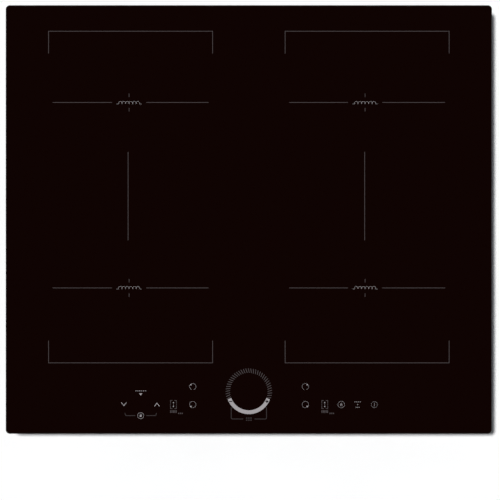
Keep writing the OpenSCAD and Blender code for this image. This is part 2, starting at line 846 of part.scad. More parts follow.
// Block with the cable inlet's bore, fitted in the box's back
module inlet_block() {
    color("#303235") difference() {
        inlet_space(0);
        translate([box_mid, case_d / 2 - inlet_len - 1, inlet_z]) rotate([-90, 0, 0])
            cylinder(r = inlet_r, h = inlet_len + 2);
    }
}

module terminal_block() {
    ways = 6;
    pitch = block_w / ways;
    z0 = recess_z - box_wall - block_h;
    color("#cfd0c6") difference() {
        translate([box_mid - block_w / 2, block_y - block_d / 2, z0]) cube([block_w, block_d, block_h]);
        for (k = [0:ways - 1]) translate([box_mid - block_w / 2 + (k + 0.5) * pitch, block_y, 0]) {
            for (s = [-1, 1]) translate([0, s * block_d / 4, z0 - 1]) cylinder(r = 2.6, h = 5);
            translate([0, 0, z0 + 8]) rotate([90, 0, 0]) cylinder(r = 2.2, h = block_d + 2, center = true);
        }
    }
}

module terminal_cover() {
    y1 = case_d / 2 - gap;
    tab_h = 4;
    color("#26272a") difference() {
        union() {
            translate([barrel_x0, hinge_y, cover_z]) cube([barrel_x1 - barrel_x0, y1 - hinge_y, cover_t]);
            translate([box_x0, hinge_y + 3.2, cover_z]) cube([box_x1 - box_x0, y1 - hinge_y - 3.2, cover_t]);
            translate([barrel_x0, hinge_y, hinge_z]) rotate([0, 90, 0])
                cylinder(r = barrel_r, h = barrel_x1 - barrel_x0);
            for (s = [-1, 1]) translate([box_mid + s * 30 - 5, y1 - box_wall - 3, cover_z + cover_t - eps])
                cube([10, 1.6, tab_h]);
        }
        translate([barrel_x0 - 1, hinge_y, hinge_z]) rotate([0, 90, 0])
            cylinder(r = pin_r + fit, h = barrel_x1 - barrel_x0 + 2);
    }
}

module terminal_pin() {
    color("#d0d2d3") translate([box_x0, hinge_y, hinge_z]) rotate([0, 90, 0])
        cylinder(r = pin_r, h = box_x1 - box_x0);
}

// ---------- touch controls ----------

module touch_board() {
    color("#1f4f33") translate([-touch_w / 2, touch_y0, touch_z]) cube([touch_w, touch_y1 - touch_y0, pcb_t]);
}

module touch_carrier() {
    edge = carrier_edge;
    d = touch_y1 - touch_y0 + 2 * edge;
    leg_y = -inner_d / 2 + 7;
    color("#d5d6d3") difference() {
        union() {
            translate([-touch_w / 2 - edge, touch_y0 - edge, carrier_z])
                cube([touch_w + 2 * edge, d, carrier_t]);
            for (x = [-touch_w / 2 - edge, touch_w / 2]) translate([x, touch_y0 - edge, carrier_z])
                cube([edge, d, touch_top - carrier_z]);
            for (x = [-0.42, -0.14, 0.14, 0.42], y = [touch_y0 + 2, touch_y1 - 4])
                translate([x * touch_w, y, carrier_z]) cylinder(r = 2, h = touch_z - carrier_z);
            for (s = [-1, 1]) translate([s * beam_w / 3, (touch_y0 + touch_y1) / 2, plate_z])
                cylinder(r = leg_r, h = carrier_z - plate_z + eps);
            for (s = [-1, 1]) translate([s * (touch_w / 2 - 12), leg_y, shelf_top])
                cylinder(r = leg_r, h = carrier_z - shelf_top + eps);
        }
        translate([-ribbon_x - 2, touch_y1 - 7, carrier_z - 1]) cube([ribbon_w + 4, 7, carrier_t + 2]);
    }
}

module touch_pads() {
    dial_parts = 12;
    color("#4a4b4d") {
        for (k = KEYS) translate([k[0], k[1], touch_top]) cylinder(r = pad_r, h = glass_z - touch_top);
        translate([0, dial_y, touch_top]) for (a = [0:360 / dial_parts:359]) rotate(a + 360 / dial_parts / 2)
            translate([dial_r - 5, -4.4, 0]) cube([5, 8.8, glass_z - touch_top]);
    }
}

module display_modules() {
    h = glass_z - touch_top - 0.8;
    color("#e8e8e6") for (p = DISPLAYS) translate([p[0] - 7, p[1] - 4.5, touch_top]) cube([14, 9, h]);
}

// ---------- clamps ----------

// Corner i's clamp: the arm is stowed along the case, towards its middle
module at_clamp(i) {
    c = CORNERS[i];
    translate([c[0] * clamp_x, c[1] * clamp_y, 0]) rotate([0, 0, -90 * c[1]]) children();
}

module clamp_arm(i) {
    tail = arm_w / 2;
    color("#c4c7c9") at_clamp(i) translate([0, 0, arm_z]) difference() {
        union() {
            cylinder(r = tail, h = arm_t);
            translate([0, -arm_w / 2, 0]) cube([arm_len, arm_w, arm_t]);
            for (s = [-1, 1]) translate([tail, s * (arm_w - lip_t) / 2 - lip_t / 2, -arm_lip])
                cube([arm_len - tail, lip_t, arm_lip + eps]);
        }
        translate([0, 0, -1]) cylinder(r = screw_r + fit, h = arm_t + 2);
        for (k = [0:2]) translate([arm_len - 3 - 4 * k, 0, arm_t]) rotate([90, 0, 0])
            cylinder(r = 0.8, h = arm_w - 4, center = true);
    }
}

module clamp_screw(i) {
    color("#bfc2c4") at_clamp(i) difference() {
        union() {
            translate([0, 0, head_z]) cylinder(r = head_r, h = head_h);
            translate([0, 0, head_z + head_h - eps]) cylinder(r = screw_r, h = screw_top - head_z - head_h);
            translate([0, 0, collar_z]) cylinder(r = collar_r, h = collar_t);
        }
        for (a = [0, 90]) rotate(a) translate([0, 0, head_z]) cube([5.4, 1.1, 3.4], center = true);
    }
}

module clamp_nuts() {
    color("#b9a35c") for (c = CORNERS) translate([c[0] * clamp_x, c[1] * clamp_y, shelf_top])
        pipe(nut_r, screw_r + fit, nut_h);
}

// ---------- wiring ----------

// Two leads of corner i's coil: down through the plate's opening, along under it, and down to the power board
function lead_route(i, side) = let (
    c = coil_at(i), out = CORNERS[i][0], back = CORNERS[i][1] > 0,
    x = c[0] + out * side * lead_x,
    top = winding_z + lead_r + 0.2,
    run_z = plate_z - 4,
    end_x = out * (part_x + (side > 0 ? 116 : 106)),
    end_y = back ? board_y1 - 16 : board_y0 + 60)
    rounded([[c[0] + out * side * (turn_r0 - turn_pitch / 2 - 0.2), c[1], top], [x, c[1], top],
        [x, c[1], run_z], [end_x, end_y, run_z], [end_x, end_y, pcb_top]], 3);

module coil_leads() {
    color("#b33a2b") for (i = [0:3], side = [-1, 1]) tube(lead_route(i, side), lead_r);
}

// Mains wires from the terminal block up through the case and down to the filter board, and the control ribbon
module wiring_harness() {
    wire_r = 1.4;
    block_hole_z = recess_z - box_wall - block_h + 8;
    over_z = recess_z + sheet_t + 4;
    color("#7a5a36") {
        for (k = [-1:1]) tube(rounded([
            [box_mid + k * 11, block_y - block_d / 2, block_hole_z],
            [box_mid + k * 11, wire_y + 6, block_hole_z],
            [box_mid + k * 4, wire_y, block_hole_z],
            [box_mid + k * 4, wire_y, over_z],
            [box_mid + k * 12, filter_y1 - 6, over_z],
            [box_mid + k * 12, filter_y1 - 6, pcb_top]], 3), wire_r);
        for (k = [0:1]) tube(rounded([
            [filter_x0 + 10 + k * 6, filter_y1 - 6, pcb_top],
            [filter_x0 + 10 + k * 6, filter_y1 - 6, fan_top + 3],
            [-filter_x0 - 10 - k * 6, filter_y1 - 6, fan_top + 3],
            [-filter_x0 - 10 - k * 6, filter_y1 - 6, pcb_top]], 4), wire_r);
    }
    ribbon_y0 = min(board_y0 + 8, plate_y0 - ribbon_gap);
    ribbon_y1 = touch_y1 - 4;
    ribbon_z = carrier_z - 4;
    color("#8c8f92") translate([-ribbon_x, 0, 0]) {
        translate([0, ribbon_y0, pcb_top]) cube([ribbon_w, ribbon_t, ribbon_z - pcb_top + ribbon_t]);
        translate([0, ribbon_y1, ribbon_z]) cube([ribbon_w, ribbon_y0 - ribbon_y1 + ribbon_t, ribbon_t]);
        translate([0, ribbon_y1, ribbon_z]) cube([ribbon_w, ribbon_t, touch_z - ribbon_z]);
    }
}

// ---------- nodes ----------

glass_top();
rim_seal();
bonding_bead();
glass_frame();
bottom_case();
bottom_pan();
terminal_recess();
case_screws();
centre_beam();
side_rails();
coil_plates();
ferrite_bars();
coil_former(0);  // coil_former_front_left
coil_former(1);  // coil_former_front_right
coil_former(2);  // coil_former_back_left
coil_former(3);  // coil_former_back_right
coil_winding(0);  // coil_winding_front_left
coil_winding(1);  // coil_winding_front_right
coil_winding(2);  // coil_winding_back_left
coil_winding(3);  // coil_winding_back_right
insulation_discs();
sensor(0);  // sensor_front_left
sensor(1);  // sensor_front_right
sensor(2);  // sensor_back_left
sensor(3);  // sensor_back_right
sensor_spring(0);  // sensor_spring_front_left
sensor_spring(1);  // sensor_spring_front_right
sensor_spring(2);  // sensor_spring_back_left
sensor_spring(3);  // sensor_spring_back_right
board_tray();
power_boards();
heat_sinks();
film_capacitors();
filter_chokes();
transistors();
relays();
fan_housing();
fan_motor();
fan_rotor();
filter_boards();
terminal_box();
inlet_block();
terminal_block();
terminal_cover();
terminal_pin();
touch_board();
touch_carrier();
touch_pads();
display_modules();
clamp_arm(0);  // clamp_arm_front_left
clamp_arm(1);  // clamp_arm_front_right
clamp_arm(2);  // clamp_arm_back_left
clamp_arm(3);  // clamp_arm_back_right
clamp_screw(0);  // clamp_screw_front_left
clamp_screw(1);  // clamp_screw_front_right
clamp_screw(2);  // clamp_screw_back_left
clamp_screw(3);  // clamp_screw_back_right
clamp_nuts();
coil_leads();
wiring_harness();
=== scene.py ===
"""Looks of a built-in induction hob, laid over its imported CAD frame.

Every CAD node keeps its shape and place and gets a worked finish. What the frame leaves to the
looks is built here as pieces of its own: the enamel print on the glass, the weld spots that hold
the pan to the case, the finger ribs on the terminal cover, and the sensors' wound springs.
"""

import json
import logging
import math
from dataclasses import dataclass
from enum import Enum

import bpy
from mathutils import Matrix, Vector


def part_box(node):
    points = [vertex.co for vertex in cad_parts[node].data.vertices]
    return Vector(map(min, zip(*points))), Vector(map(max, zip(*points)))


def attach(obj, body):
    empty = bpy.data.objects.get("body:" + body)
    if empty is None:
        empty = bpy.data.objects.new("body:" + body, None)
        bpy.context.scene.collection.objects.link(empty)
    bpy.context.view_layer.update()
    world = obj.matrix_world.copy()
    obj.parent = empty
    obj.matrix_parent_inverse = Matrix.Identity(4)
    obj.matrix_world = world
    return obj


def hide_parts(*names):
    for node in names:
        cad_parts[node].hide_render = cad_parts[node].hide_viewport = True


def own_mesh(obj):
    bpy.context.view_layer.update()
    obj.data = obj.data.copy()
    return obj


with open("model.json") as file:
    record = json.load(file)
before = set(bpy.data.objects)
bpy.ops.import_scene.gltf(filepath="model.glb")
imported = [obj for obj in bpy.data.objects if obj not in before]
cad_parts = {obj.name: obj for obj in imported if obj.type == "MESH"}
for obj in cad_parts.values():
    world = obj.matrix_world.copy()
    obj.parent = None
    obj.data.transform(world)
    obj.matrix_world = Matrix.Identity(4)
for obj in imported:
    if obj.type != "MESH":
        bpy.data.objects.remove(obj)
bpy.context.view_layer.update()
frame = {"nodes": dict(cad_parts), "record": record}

LOG = logging.getLogger("hob")
MM_PER_M = 1000

Point = tuple[float, float]
Place = tuple[float, float, float]
Face = tuple[int, ...]
Socket = bpy.types.NodeSocket
Tree = bpy.types.NodeTree

# Inputs of the mix node, which repeat their names: the factor, its two numbers and its two colours.
MIX_FACTOR, MIX_A, MIX_B, MIX_COLOUR_A, MIX_COLOUR_B = 0, 2, 3, 6, 7
# Where its mixed colour comes out.
MIX_COLOUR = 2


# ---------- colours and nodes ----------


def linear(code: str) -> tuple[float, float, float, float]:
    """Turns an sRGB hex colour into the linear colour that a shader takes.

    Args:
        code: the colour as "#rrggbb".

    Returns:
        Red, green and blue from 0 to 1, and an alpha of 1.
    """
    parts = [int(code[i : i + 2], 16) / 255 for i in (1, 3, 5)]
    # The sRGB curve: straight near black, and a power above that.
    red, green, blue = (p / 12.92 if p <= 0.04045 else ((p + 0.055) / 1.055) ** 2.4 for p in parts)
    return red, green, blue, 1.0


def add_node(
    tree: Tree, kind: str, settings: dict | None = None, links: dict | None = None
) -> bpy.types.Node:
    """Adds one node to a tree.

    Args:
        tree: the node tree.
        kind: the node's class name.
        settings: values by input name or number, or by the node's own property. "stops" fills a colour
            ramp with (position, colour) pairs.
        links: the output that feeds each input, by the input's name or number.

    Returns:
        The new node.
    """
    node = tree.nodes.new(kind)
    for key, value in (settings or {}).items():
        if key == "stops":
            ramp = node.color_ramp.elements
            while len(ramp) < len(value):
                ramp.new(1.0)
            for stop, (position, colour) in zip(ramp, value):
                stop.position, stop.color = position, colour
        elif isinstance(key, int) or key in node.inputs:
            node.inputs[key].default_value = value
        else:
            setattr(node, key, value)
    for key, output in (links or {}).items():
        tree.links.new(output, node.inputs[key])
    return node


# ---------- finishes ----------


@dataclass(frozen=True)
class Finish:
    """What a surface is made of and how it was made; each finish makes one material.

    Attributes:
        name: the real material and how its surface was made.
        low: sRGB colour of the darker patches.
        high: sRGB colour of the lighter patches.
        smooth: roughness where the surface is smoothest.
        rough: roughness where it is roughest.
        grain: size of the surface's pattern in millimetres.
        depth: depth of that pattern in millimetres.
        metallic: 1 for bare metal, 0 for everything else.
        ior: refractive index; a metal keeps the shader's own.
    """

    name: str
    low: str
    high: str
    smooth: float
    rough: float
    grain: float
    depth: float = 0.0
    metallic: float = 0.0
    ior: float = 1.5

    def material(self) -> bpy.types.Material:
        """Makes the material the first time it is asked for.

        Returns:
            The finish's material.
        """
        made = bpy.data.materials.get(self.name)
        if made is not None:
            return made
        made = bpy.data.materials.new(self.name)
        made.use_nodes = True
        made.node_tree.nodes.clear()
        settings = {"Metallic": self.metallic, "Roughness": self.rough, "Base Color": linear(self.low)}
        if not self.metallic:
            settings["IOR"] = self.ior
        shader = add_node(made.node_tree, "ShaderNodeBsdfPrincipled", settings)
        add_node(made.node_tree, "ShaderNodeOutputMaterial", links={"Surface": shader.outputs["BSDF"]})
        self.pattern(made.node_tree, shader)
        return made

    def pattern(self, tree: Tree, shader: bpy.types.Node) -> None:
        """Patches of colour and gloss from soft noise, with the same noise as relief.

        Args:
            tree: the material's node tree.
            shader: the material's surface shader.
        """
        noise = self.noise(tree, self.grain)
        self.colour(tree, shader, noise)
        self.gloss(tree, shader, noise)
        self.relief(tree, shader, noise)

    def place(self, tree: Tree, size: float, stretch: Place = (1, 1, 1)) -> Socket:
        """Coordinates fixed to the piece, in which a pattern's unit has a real length.

        Args:
            tree: the material's node tree.
            size: length of one unit in millimetres.
            stretch: how many times longer the unit is along X, Y and Z.

        Returns:
            The scaled coordinates.
        """
        coordinates = add_node(tree, "ShaderNodeTexCoord").outputs["Object"]
        scale = [MM_PER_M / (size * s) for s in stretch]
        mapped = add_node(tree, "ShaderNodeMapping", {"Scale": scale}, {"Vector": coordinates})
        return mapped.outputs["Vector"]

    def noise(self, tree: Tree, size: float, stretch: Place = (1, 1, 1)) -> Socket:
        """Soft noise.

        Args:
            tree: the material's node tree.
            size: width of its patches in millimetres.
            stretch: how many times longer the patches are along X, Y and Z.

        Returns:
            The noise, from 0 to 1.
        """
        settings = {"Scale": 1.0, "Detail": 4.0, "Roughness": 0.55}
        place = self.place(tree, size, stretch)
        return add_node(tree, "ShaderNodeTexNoise", settings, {"Vector": place}).outputs["Fac"]

    def colour(self, tree: Tree, shader: bpy.types.Node, pattern: Socket) -> None:
        """Lets the base colour run from low to high over the middle of a pattern's range.

        Args:
            tree: the material's node tree.
            shader: the material's surface shader.
            pattern: the pattern, from 0 to 1.
        """
        stops = ((0.3, linear(self.low)), (0.7, linear(self.high)))
        ramp = add_node(tree, "ShaderNodeValToRGB", {"stops": stops}, {"Fac": pattern})
        tree.links.new(ramp.outputs["Color"], shader.inputs["Base Color"])

    def gloss(self, tree: Tree, shader: bpy.types.Node, pattern: Socket) -> None:
        """Lets the roughness run from smooth to rough over the middle of a pattern's range.

        Args:
            tree: the material's node tree.
            shader: the material's surface shader.
            pattern: the pattern, from 0 to 1.
        """
        settings = {"From Min": 0.25, "From Max": 0.75, "To Min": self.smooth, "To Max": self.rough}
        spread = add_node(tree, "ShaderNodeMapRange", settings, {"Value": pattern})
        tree.links.new(spread.outputs["Result"], shader.inputs["Roughness"])

    def relief(self, tree: Tree, shader: bpy.types.Node, height: Socket) -> None:
        """Raises the surface by a pattern, to the finish's depth.

        Args:
            tree: the material's node tree.
            shader: the material's surface shader.
            height: the pattern, from 0 to 1.
        """
        if self.depth:
            bump = add_node(tree, "ShaderNodeBump", {"Distance": self.depth / MM_PER_M}, {"Height": height})
            tree.links.new(bump.outputs["Normal"], shader.inputs["Normal"])


@dataclass(frozen=True)
class GlassCeramic(Finish):
    """Black glass-ceramic: a fire-polished face inside a ground, matt band along its edges.

    Attributes:
        half_width: half the pane's width in millimetres.
        half_depth: half its depth.
        band: width of the ground band.
        ground: roughness of the ground band.
    """

    half_width: float = 0.0
    half_depth: float = 0.0
    band: float = 1.0
    ground: float = 0.6

    def pattern(self, tree: Tree, shader: bpy.types.Node) -> None:
        """Polished, faintly wavy and deep brown-black inside; rough and black on the ground band.

        Args:
            tree: the material's node tree.
            shader: the material's surface shader.
        """
        wave = self.noise(tree, self.grain)
        self.relief(tree, shader, wave)
        spread = {"From Min": 0.3, "From Max": 0.7, "To Min": self.smooth, "To Max": self.rough}
        polish = add_node(tree, "ShaderNodeMapRange", spread, {"Value": self.noise(tree, self.grain * 2)})
        edge = self.edge(tree)
        rough = add_node(
            tree, "ShaderNodeMix", {MIX_B: self.ground}, {MIX_FACTOR: edge, MIX_A: polish.outputs["Result"]})
        tree.links.new(rough.outputs[0], shader.inputs["Roughness"])
        colours = {MIX_COLOUR_A: linear(self.low), MIX_COLOUR_B: linear(self.high)}
        tint = add_node(tree, "ShaderNodeMix", {"data_type": "RGBA", **colours}, {MIX_FACTOR: edge})
        tree.links.new(tint.outputs[MIX_COLOUR], shader.inputs["Base Color"])

    def edge(self, tree: Tree) -> Socket:
        """Finds the ground band.

        Args:
            tree: the material's node tree.

        Returns:
            1 on the band and 0 inside it.
        """
        coordinates = add_node(tree, "ShaderNodeTexCoord")
        axes = add_node(tree, "ShaderNodeSeparateXYZ", links={"Vector": coordinates.outputs["Object"]})
        past = []
        for axis, half in (("X", self.half_width), ("Y", self.half_depth)):
            away = add_node(tree, "ShaderNodeMath", {"operation": "ABSOLUTE"}, {0: axes.outputs[axis]})
            limit = {"operation": "GREATER_THAN", 1: (half - self.band) / MM_PER_M}
            past.append(add_node(tree, "ShaderNodeMath", limit, {0: away.outputs[0]}).outputs[0])
        either = add_node(tree, "ShaderNodeMath", {"operation": "MAXIMUM"}, {0: past[0], 1: past[1]})
        return either.outputs[0]


@dataclass(frozen=True)
class Spangled(Finish):
    """Hot-dip galvanised sheet: flat zinc crystals that each catch the light a little differently."""

    def pattern(self, tree: Tree, shader: bpy.types.Node) -> None:
        """One tone and one gloss to each crystal, with fine grain in the relief.

        Args:
            tree: the material's node tree.
            shader: the material's surface shader.
        """
        settings = {"Scale": 1.0, "Randomness": 1.0}
        cells = add_node(tree, "ShaderNodeTexVoronoi", settings, {"Vector": self.place(tree, self.grain)})
        tone = add_node(tree, "ShaderNodeSeparateColor", links={"Color": cells.outputs["Color"]})
        self.colour(tree, shader, tone.outputs[0])
        self.gloss(tree, shader, tone.outputs[1])
        fine = self.grain / 3
        self.relief(tree, shader, self.noise(tree, fine))


@dataclass(frozen=True)
class Rolled(Finish):
    """Rolled or extruded metal: fine lines along the mill's direction.

    Attributes:
        run: how many times longer than wide the lines are, along Y.
    """

    run: float = 40.0

    def pattern(self, tree: Tree, shader: bpy.types.Node) -> None:
        """Long thin streaks in colour, gloss and relief.

        Args:
            tree: the material's node tree.
            shader: the material's surface shader.
        """
        streaks = self.noise(tree, self.grain, (1, self.run, 1))
        self.colour(tree, shader, streaks)
        self.gloss(tree, shader, streaks)
        self.relief(tree, shader, streaks)


@dataclass(frozen=True)
class Cellular(Finish):
    """Foam, mica flakes or sintered grains: cells with their own tone and rounded tops."""

    def pattern(self, tree: Tree, shader: bpy.types.Node) -> None:
        """Each cell has its tone, and its middle stands up.

        Args:
            tree: the material's node tree.
            shader: the material's surface shader.
        """
        place = self.place(tree, self.grain)
        cells = add_node(tree, "ShaderNodeTexVoronoi", {"Scale": 1.0}, {"Vector": place})
        tone = add_node(tree, "ShaderNodeSeparateColor", links={"Color": cells.outputs["Color"]})
        self.colour(tree, shader, tone.outputs[0])
        self.gloss(tree, shader, tone.outputs[2])
        top = add_node(
            tree, "ShaderNodeMath", {"operation": "SUBTRACT", 0: 1.0}, {1: cells.outputs["Distance"]})
        self.relief(tree, shader, top.outputs[0])


@dataclass(frozen=True)
class Litz(Finish):
    """Enamelled copper strands twisted into one conductor and wound round four coil centres.

    Attributes:
        coil: X and Y of the back right coil's centre in millimetres.
        middle: Y halfway between the front and back coils.
        strands: strands that cross one turn's width, all the way round.
    """

    coil: Point = (0.0, 0.0)
    middle: float = 0.0
    strands: int = 280

    def pattern(self, tree: Tree, shader: bpy.types.Node) -> None:
        """Slanting strands round each coil, from the angle and the distance to its centre.

        Args:
            tree: the material's node tree.
            shader: the material's surface shader.
        """
        place = add_node(tree, "ShaderNodeSeparateXYZ", links={"Vector": self.place(tree, 1.0)})
        across = self.folded(tree, place.outputs["X"], 0.0, self.coil[0])
        along = self.folded(tree, place.outputs["Y"], self.middle, self.coil[1] - self.middle)
        angle = add_node(tree, "ShaderNodeMath", {"operation": "ARCTAN2"}, {0: along, 1: across})
        spot = add_node(tree, "ShaderNodeCombineXYZ", links={"X": across, "Y": along})
        reach = add_node(
            tree, "ShaderNodeVectorMath", {"operation": "LENGTH"}, {0: spot.outputs[0]})
        slant = add_node(
            tree, "ShaderNodeMath", {"operation": "MULTIPLY", 1: math.tau / self.grain},
            {0: reach.outputs["Value"]})
        phase = add_node(
            tree, "ShaderNodeMath", {"operation": "MULTIPLY_ADD", 1: float(self.strands)},
            {0: angle.outputs[0], 2: slant.outputs[0]})
        strand = add_node(tree, "ShaderNodeMath", {"operation": "SINE"}, {0: phase.outputs[0]})
        half = add_node(
            tree, "ShaderNodeMath", {"operation": "MULTIPLY_ADD", 1: 0.5, 2: 0.5}, {0: strand.outputs[0]})
        # Painted shade: the colour runs dark in the grooves between strands and light on their crowns.
        self.colour(tree, shader, half.outputs[0])
        self.gloss(tree, shader, half.outputs[0])
        self.relief(tree, shader, half.outputs[0])

    def folded(self, tree: Tree, value: Socket, middle: float, reach: float) -> Socket:
        """Folds a coordinate about middle, so that the coils on both sides of it share one centre.

        Args:
            tree: the material's node tree.
            value: the coordinate in millimetres.
            middle: where it is folded.
            reach: distance from there to a coil's centre.

        Returns:
            The distance from the nearest coil's centre, along this coordinate.
        """
        moved = add_node(tree, "ShaderNodeMath", {"operation": "SUBTRACT", 1: middle}, {0: value})
        away = add_node(tree, "ShaderNodeMath", {"operation": "ABSOLUTE"}, {0: moved.outputs[0]})
        left = add_node(tree, "ShaderNodeMath", {"operation": "SUBTRACT", 1: reach}, {0: away.outputs[0]})
        return left.outputs[0]


@dataclass(frozen=True)
class Laminate(Finish):
    """Glass-epoxy laminate under solder mask: copper tracks show through it as lighter lines.

    Attributes:
        tin: sRGB colour of the tinned pads.
        run: length of a track, as a share of the grid of legs.
        row: distance from track to track, as the same share.
        track: width of a track, as the same share.
        pads: how many pads there are on one step of the grid.
        pad: radius of a pad, as a share of the distance between pads.
    """

    tin: str = "#b9bcbd"
    run: float = 3.2
    row: float = 0.6
    track: float = 0.09
    pads: float = 0.6
    pad: float = 0.22

    def pattern(self, tree: Tree, shader: bpy.types.Node) -> None:
        """Tracks on the grid of the parts' legs, and round tinned pads.

        Args:
            tree: the material's node tree.
            shader: the material's surface shader.
        """
        place = self.place(tree, self.grain)
        settings = {
            "Color1": linear(self.low), "Color2": linear(self.low), "Mortar": linear(self.high), "Scale": 1.0,
            "Mortar Size": self.track, "Brick Width": self.run, "Row Height": self.row}
        tracks = add_node(tree, "ShaderNodeTexBrick", settings, {"Vector": place})
        spread = {"Scale": self.pads, "Randomness": 0.35}
        dots = add_node(tree, "ShaderNodeTexVoronoi", spread, {"Vector": place})
        pads = add_node(
            tree, "ShaderNodeMath", {"operation": "LESS_THAN", 1: self.pad}, {0: dots.outputs["Distance"]})
        tint = add_node(
            tree, "ShaderNodeMix", {"data_type": "RGBA", MIX_COLOUR_B: linear(self.tin)},
            {MIX_FACTOR: pads.outputs[0], MIX_COLOUR_A: tracks.outputs["Color"]})
        tree.links.new(tint.outputs[MIX_COLOUR], shader.inputs["Base Color"])
        tree.links.new(pads.outputs[0], shader.inputs["Metallic"])
        self.gloss(tree, shader, tracks.outputs["Fac"])
        self.relief(tree, shader, tracks.outputs["Fac"])


@dataclass(frozen=True)
class Insulated(Finish):
    """Extruded wire insulation: grey wires, and three mains cores side by side in their own colours.

    Attributes:
        cores: sRGB colours of the mains cores, from -X to +X.
        middle: X of the middle core in millimetres.
        gap: from the middle core to where its neighbours' colours start.
        reach: from the middle core to where the wires are grey again.
    """

    cores: tuple[str, str, str] = ("#5a3621", "#8a9a2f", "#2e5d94")
    middle: float = 0.0
    gap: float = 2.0
    reach: float = 16.0

    def pattern(self, tree: Tree, shader: bpy.types.Node) -> None:
        """The colour changes from core to core along X, with faint draw lines.

        Args:
            tree: the material's node tree.
            shader: the material's surface shader.
        """
        place = add_node(tree, "ShaderNodeSeparateXYZ", links={"Vector": self.place(tree, 1.0)})
        half = 2 * self.reach
        ends = {"From Min": self.middle - half, "From Max": self.middle + half}
        along = add_node(tree, "ShaderNodeMapRange", ends, {"Value": place.outputs["X"]})
        edges = (-half, -self.reach, -self.gap, self.gap, self.reach)
        colours = (self.low, *self.cores, self.low)
        stops = tuple((0.5 + edge / (2 * half), linear(c)) for edge, c in zip(edges, colours))
        ramp = add_node(tree, "ShaderNodeValToRGB", {"stops": stops}, {"Fac": along.outputs["Result"]})
        ramp.color_ramp.interpolation = "CONSTANT"
        tree.links.new(ramp.outputs["Color"], shader.inputs["Base Color"])
        lines = self.noise(tree, self.grain)
        self.gloss(tree, shader, lines)
        self.relief(tree, shader, lines)


# Ceramic enamel, screen printed and fired: matt, slightly uneven in cover. Its real mesh marks are
# about 0.1 mm, too fine to show, so they are drawn 0.5 mm across.
class Tone(Enum):
    """The print's tones, from the thin zone lines to the solid slider."""

    FAINT = Finish(
        "enamel_screen_printed_dark_grey", "#322d2e", "#383334",
        smooth=0.45, rough=0.6, grain=0.5, depth=0.004)
    LINE = Finish(
        "enamel_screen_printed_grey", "#423c3d", "#484243",
        smooth=0.45, rough=0.6, grain=0.5, depth=0.004)
    SYMBOL = Finish(
        "enamel_screen_printed_white", "#928d8f", "#9a9597",
        smooth=0.45, rough=0.6, grain=0.5, depth=0.004)
    SLIDER = Finish(
        "enamel_screen_printed_silver", "#938f91", "#999597",
        smooth=0.4, rough=0.55, grain=0.5, depth=0.004)
    BARE = Finish(
        "enamel_screen_printed_black", "#150f10", "#191213",
        smooth=0.45, rough=0.6, grain=0.5, depth=0.004)


# ---------- meshes ----------


def mesh_object(name: str, points: list[Place], faces: list[Face]) -> bpy.types.Object:
    """Makes an object from points in millimetres.

    Args:
        name: the piece's name.
        points: its corners, in the frame's own axes.
        faces: the corners of each face, seen anticlockwise from outside.

    Returns:
        The new object, linked to the scene.
    """
    mesh = bpy.data.meshes.new(name)
    mesh.from_pydata([[c / MM_PER_M for c in p] for p in points], [], faces)
    mesh.validate()
    piece = bpy.data.objects.new(name, mesh)
    bpy.context.scene.collection.objects.link(piece)
    return piece


def finish_piece(piece: bpy.types.Object, finish: Finish, body: str) -> bpy.types.Object:
    """Gives a built piece its finish, its body and its material slot, and reports it.

    Args:
        piece: the piece, in its place.
        finish: what it is made of.
        body: the CAD body that it moves with.

    Returns:
        The same piece.
    """
    piece.data.materials.append(finish.material())
    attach(piece, body)
    LOG.info("%s: %d faces, %s, rides on %s", piece.name, len(piece.data.polygons), finish.name, body)
    return piece


def box_mm(node: str) -> tuple[Vector, Vector]:
    """Lowest and highest corner of a CAD node at rest, in millimetres."""
    low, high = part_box(node)
    return low * MM_PER_M, high * MM_PER_M


